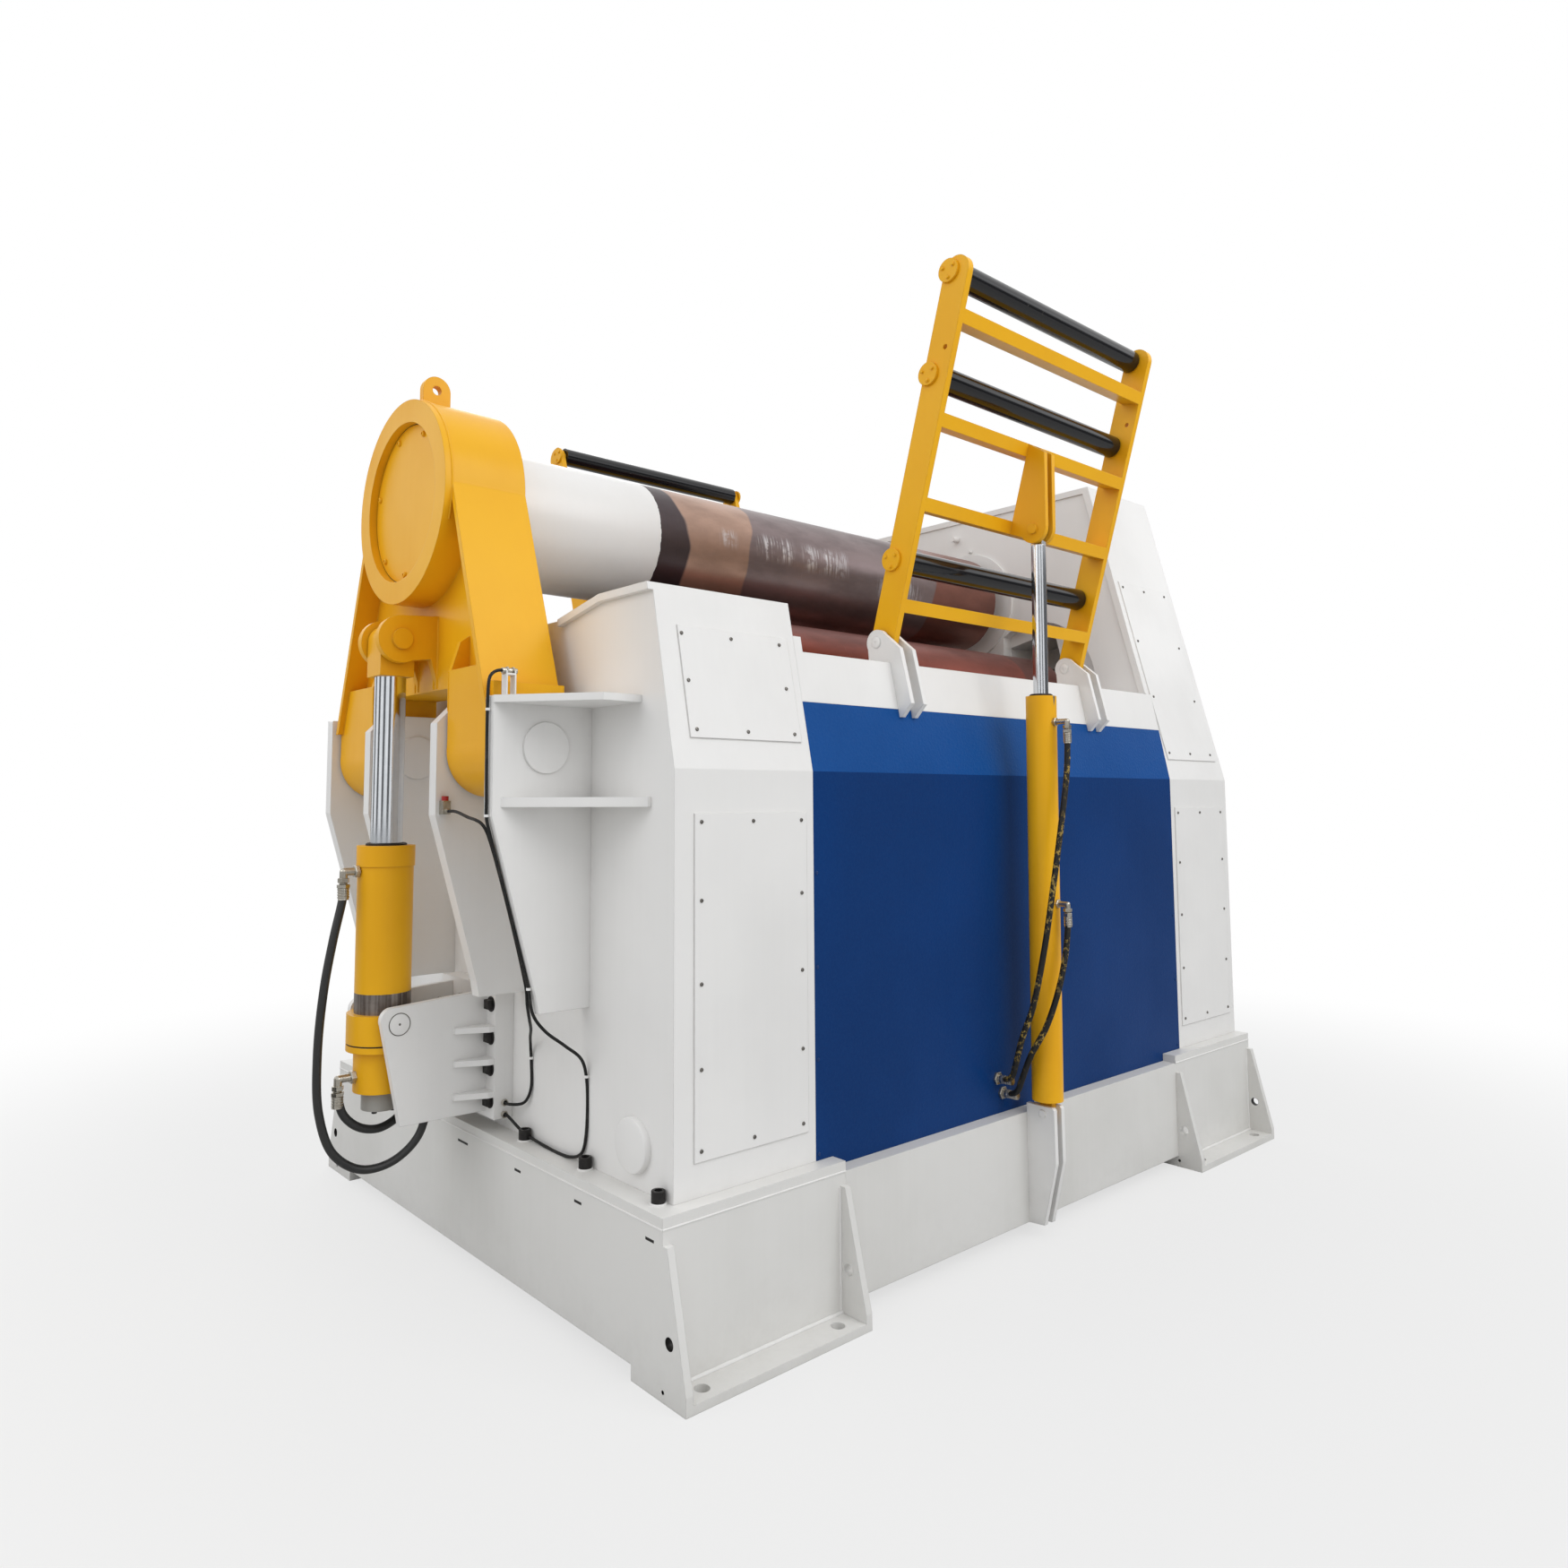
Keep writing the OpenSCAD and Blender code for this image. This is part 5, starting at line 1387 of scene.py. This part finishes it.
@dataclass
class GearboxFittings:
    """Flange and cover bolts of the two gearboxes on the right end."""

    boxes: tuple[Pair, ...] = ((2660, 262), (2112, 240))
    faces_x: Pair = (1786, 2026)
    insets: Pair = (15, 48.5)
    counts: tuple[int, int] = (16, 12)
    bolt_sizes: tuple[Pair, Pair] = ((10.5, 9), (9, 8))

    def build(self) -> None:
        """Makes both rings of bolts on each gearbox."""
        bolts = Form()
        for z, radius in self.boxes:
            for x, inset, count, size in zip(self.faces_x, self.insets, self.counts,
                                             self.bolt_sizes):
                for place in circle_places(mm(x, 0, z), RIGHT, radius - inset, count):
                    screw(bolts, place, size)
        bolts.piece("gearbox_bolts", BOLT, crease=25.0)


@dataclass
class CableClips:
    """Clips that hold the cables, and the nuts of the sensor and the glands."""

    clips: tuple[Point, ...] = (
        (-2031.5, -672, 1880), (-2031, -672, 1560), (-1881, -672, 1034), (-1683, -690, 745),
        (-1683, -344.5, 742))
    glands: tuple[Point, ...] = ((-1712, -224, 535), (-1712, -224, 575))
    sensor_nuts: tuple[Point, ...] = ((-1974, -672, 2002), (-1954, -672, 2002))

    def build(self) -> None:
        """Makes the clips and nuts."""
        clips, nuts = Form(), Form()
        for at in self.clips:
            clips.lathe([(6.2, -4), (7.8, -4), (7.8, 4), (6.2, 4)], aim(mm(*at), UP), 20)
        for at in self.glands:
            nuts.lathe([(9, 0), (12.5, 0.5), (12.5, 8), (10.5, 9.5), (9, 9.5)],
                       aim(mm(*at), REAR), 6)
        for at in self.sensor_nuts:
            nuts.lathe([(9.2, 0), (13.5, 0.5), (13.5, 5.5), (9.2, 6)], aim(mm(*at), RIGHT), 6)
        clips.piece("cable_clips", WHITE_DETAIL)
        nuts.piece("sensor_nuts", STEEL, crease=25.0)


# ---------------------------------------------------------------- studio

@dataclass(frozen=True)
class Lamp:
    """A square area lamp, in metres and watts."""

    name: str
    place: Point
    target: Point
    power: float
    size: float = 5.0

    def build(self) -> None:
        """Hangs the lamp and points it at its target."""
        light = bpy.data.lights.new(self.name, "AREA")
        light.energy, light.size = self.power, self.size
        lamp = new_object(self.name, light)
        lamp.location = self.place
        way = Vector(self.target) - Vector(self.place)
        lamp.rotation_euler = way.to_track_quat("-Z", "Y").to_euler()


@dataclass
class Studio:
    """Plain pale floor, soft lights and the camera."""

    reach: float = 60.0
    camera_at: Point = (-3.5392, -3.6128, 1.600)
    right: Point = (0.7562, -0.6543, -0.0033)
    up: Point = (-0.0517, -0.0649, 0.9965)
    back: Point = (-0.6523, -0.7534, -0.0829)
    lens: float = 24.54
    sensor: float = 36.0
    shift: Pair = (0.0227, -0.0455)
    strips: float = 9.0
    lamps: tuple[Lamp, ...] = (
        Lamp("front_softbox", (0.6, -7.0, 6.5), (-0.2, 0.0, 1.7), 216.0),
        Lamp("left_softbox", (-8.0, 1.0, 5.5), (-1.5, 0.0, 1.6), 104.0),
        Lamp("rear_softbox", (2.0, 8.0, 6.5), (0.0, 0.0, 1.6), 160.0))

    def build(self) -> None:
        """Makes the floor, the world, the lamps and the camera."""
        self._floor()
        self._world()
        for lamp in self.lamps:
            lamp.build()
        self._camera()
        bpy.context.scene.view_settings.view_transform = "Standard"

    def _floor(self) -> None:
        """A pale floor that brightens to white away from the machine."""
        mesh = bpy.data.meshes.new("studio_floor")
        r = self.reach
        mesh.from_pydata([(-r, -r, 0), (r, -r, 0), (r, r, 0), (-r, r, 0)], [], [(0, 1, 2, 3)])
        floor = new_object("studio_floor", mesh)
        made = bpy.data.materials.new("pale_floor")
        g = fresh_graph(made)
        distance = g.vector("LENGTH", {0: g.own_place()})["Value"]
        seen = g.add("LightPath").outputs["Is Camera Ray"]
        fade = g.times(g.ramp(distance, 2.6, 6.0, (0.68, 1.0)), seen)
        matt = g.add("BsdfPrincipled", {"Base Color": (0.52, 0.52, 0.51, 1.0), "Roughness": 0.8})
        glow = g.add("Emission", {"Color": (1.0, 1.0, 1.0, 1.0), "Strength": 1.0})
        mixed = g.add("MixShader", {0: fade, 1: matt.outputs[0], 2: glow.outputs[0]})
        g.add("OutputMaterial", {0: mixed.outputs[0]})
        mesh.materials.append(made)

    def _world(self) -> None:
        """White behind everything, with a soft grey dome for light and reflections."""
        world = bpy.data.worlds.new("studio_world")
        bpy.context.scene.world = world
        g = fresh_graph(world)
        rays = g.add("LightPath").outputs
        glossy = rays["Is Glossy Ray"]
        way = g.split(g.add("TexCoord").outputs["Generated"])
        around, height = g.math("ARCTAN2", way["Y"], way["X"]), way["Z"]
        strip = g.ramp(g.math("SINE", g.times(around, self.strips)), -0.1, 0.6)
        flag = g.times(g.ramp(around, -1.5, -1.2), g.ramp(around, 0.2, -0.05))
        dark = g.times(g.math("MAXIMUM", strip, flag), g.ramp(height, 0.3, 0.18))
        band = g.times(g.ramp(height, 0.2, 0.27), g.ramp(height, 0.5, 0.4))
        change = g.times(glossy, g.minus(band, g.times(dark, 0.8)))
        dome = g.times(g.ramp(height, -0.2, 0.9, (0.47, 0.92)), g.plus(1.0, change))
        white = g.add("Background", {"Color": (1.0, 1.0, 1.0, 1.0), "Strength": 1.0})
        soft = g.add("Background", {"Color": (0.97, 0.98, 1.0, 1.0), "Strength": dome})
        lit = g.times(glossy, g.minus(0.9, g.times(g.math("MAXIMUM", dark, band), 0.88)))
        mixed = g.add("MixShader", {0: g.plus(rays["Is Camera Ray"], lit), 1: soft.outputs[0],
                                    2: white.outputs[0]})
        g.add("OutputWorld", {0: mixed.outputs[0]})

    def _camera(self) -> None:
        """The camera, at standing eye height in front of the drop end."""
        lens = bpy.data.cameras.new("main_camera")
        lens.lens, lens.sensor_width = self.lens, self.sensor
        lens.shift_x, lens.shift_y = self.shift
        camera = new_object("main_camera", lens)
        axes = Matrix((self.right, self.up, self.back)).transposed().to_4x4()
        camera.matrix_world = Matrix.Translation(self.camera_at) @ axes
        bpy.context.scene.camera = camera


def main() -> None:
    """Builds the studio, the hoses and each sub-assembly."""
    logging.basicConfig(level=logging.INFO, format="%(name)s: %(message)s")
    Studio().build()
    for hose in HOSES:
        hose.build()
    dress_nodes()
    parts = (BaseFittings(), StandFittings(), PanelFittings(), TrunnionFittings(),
             DropEndFittings(), DropCylinderFittings(), SupportFittings(-1), SupportFittings(1),
             SupportPorts(), GearboxFittings(), CableClips())
    for part in parts:
        part.build()
        LOG.info("built %s", type(part).__name__)


if __name__ == "__main__":
    main()
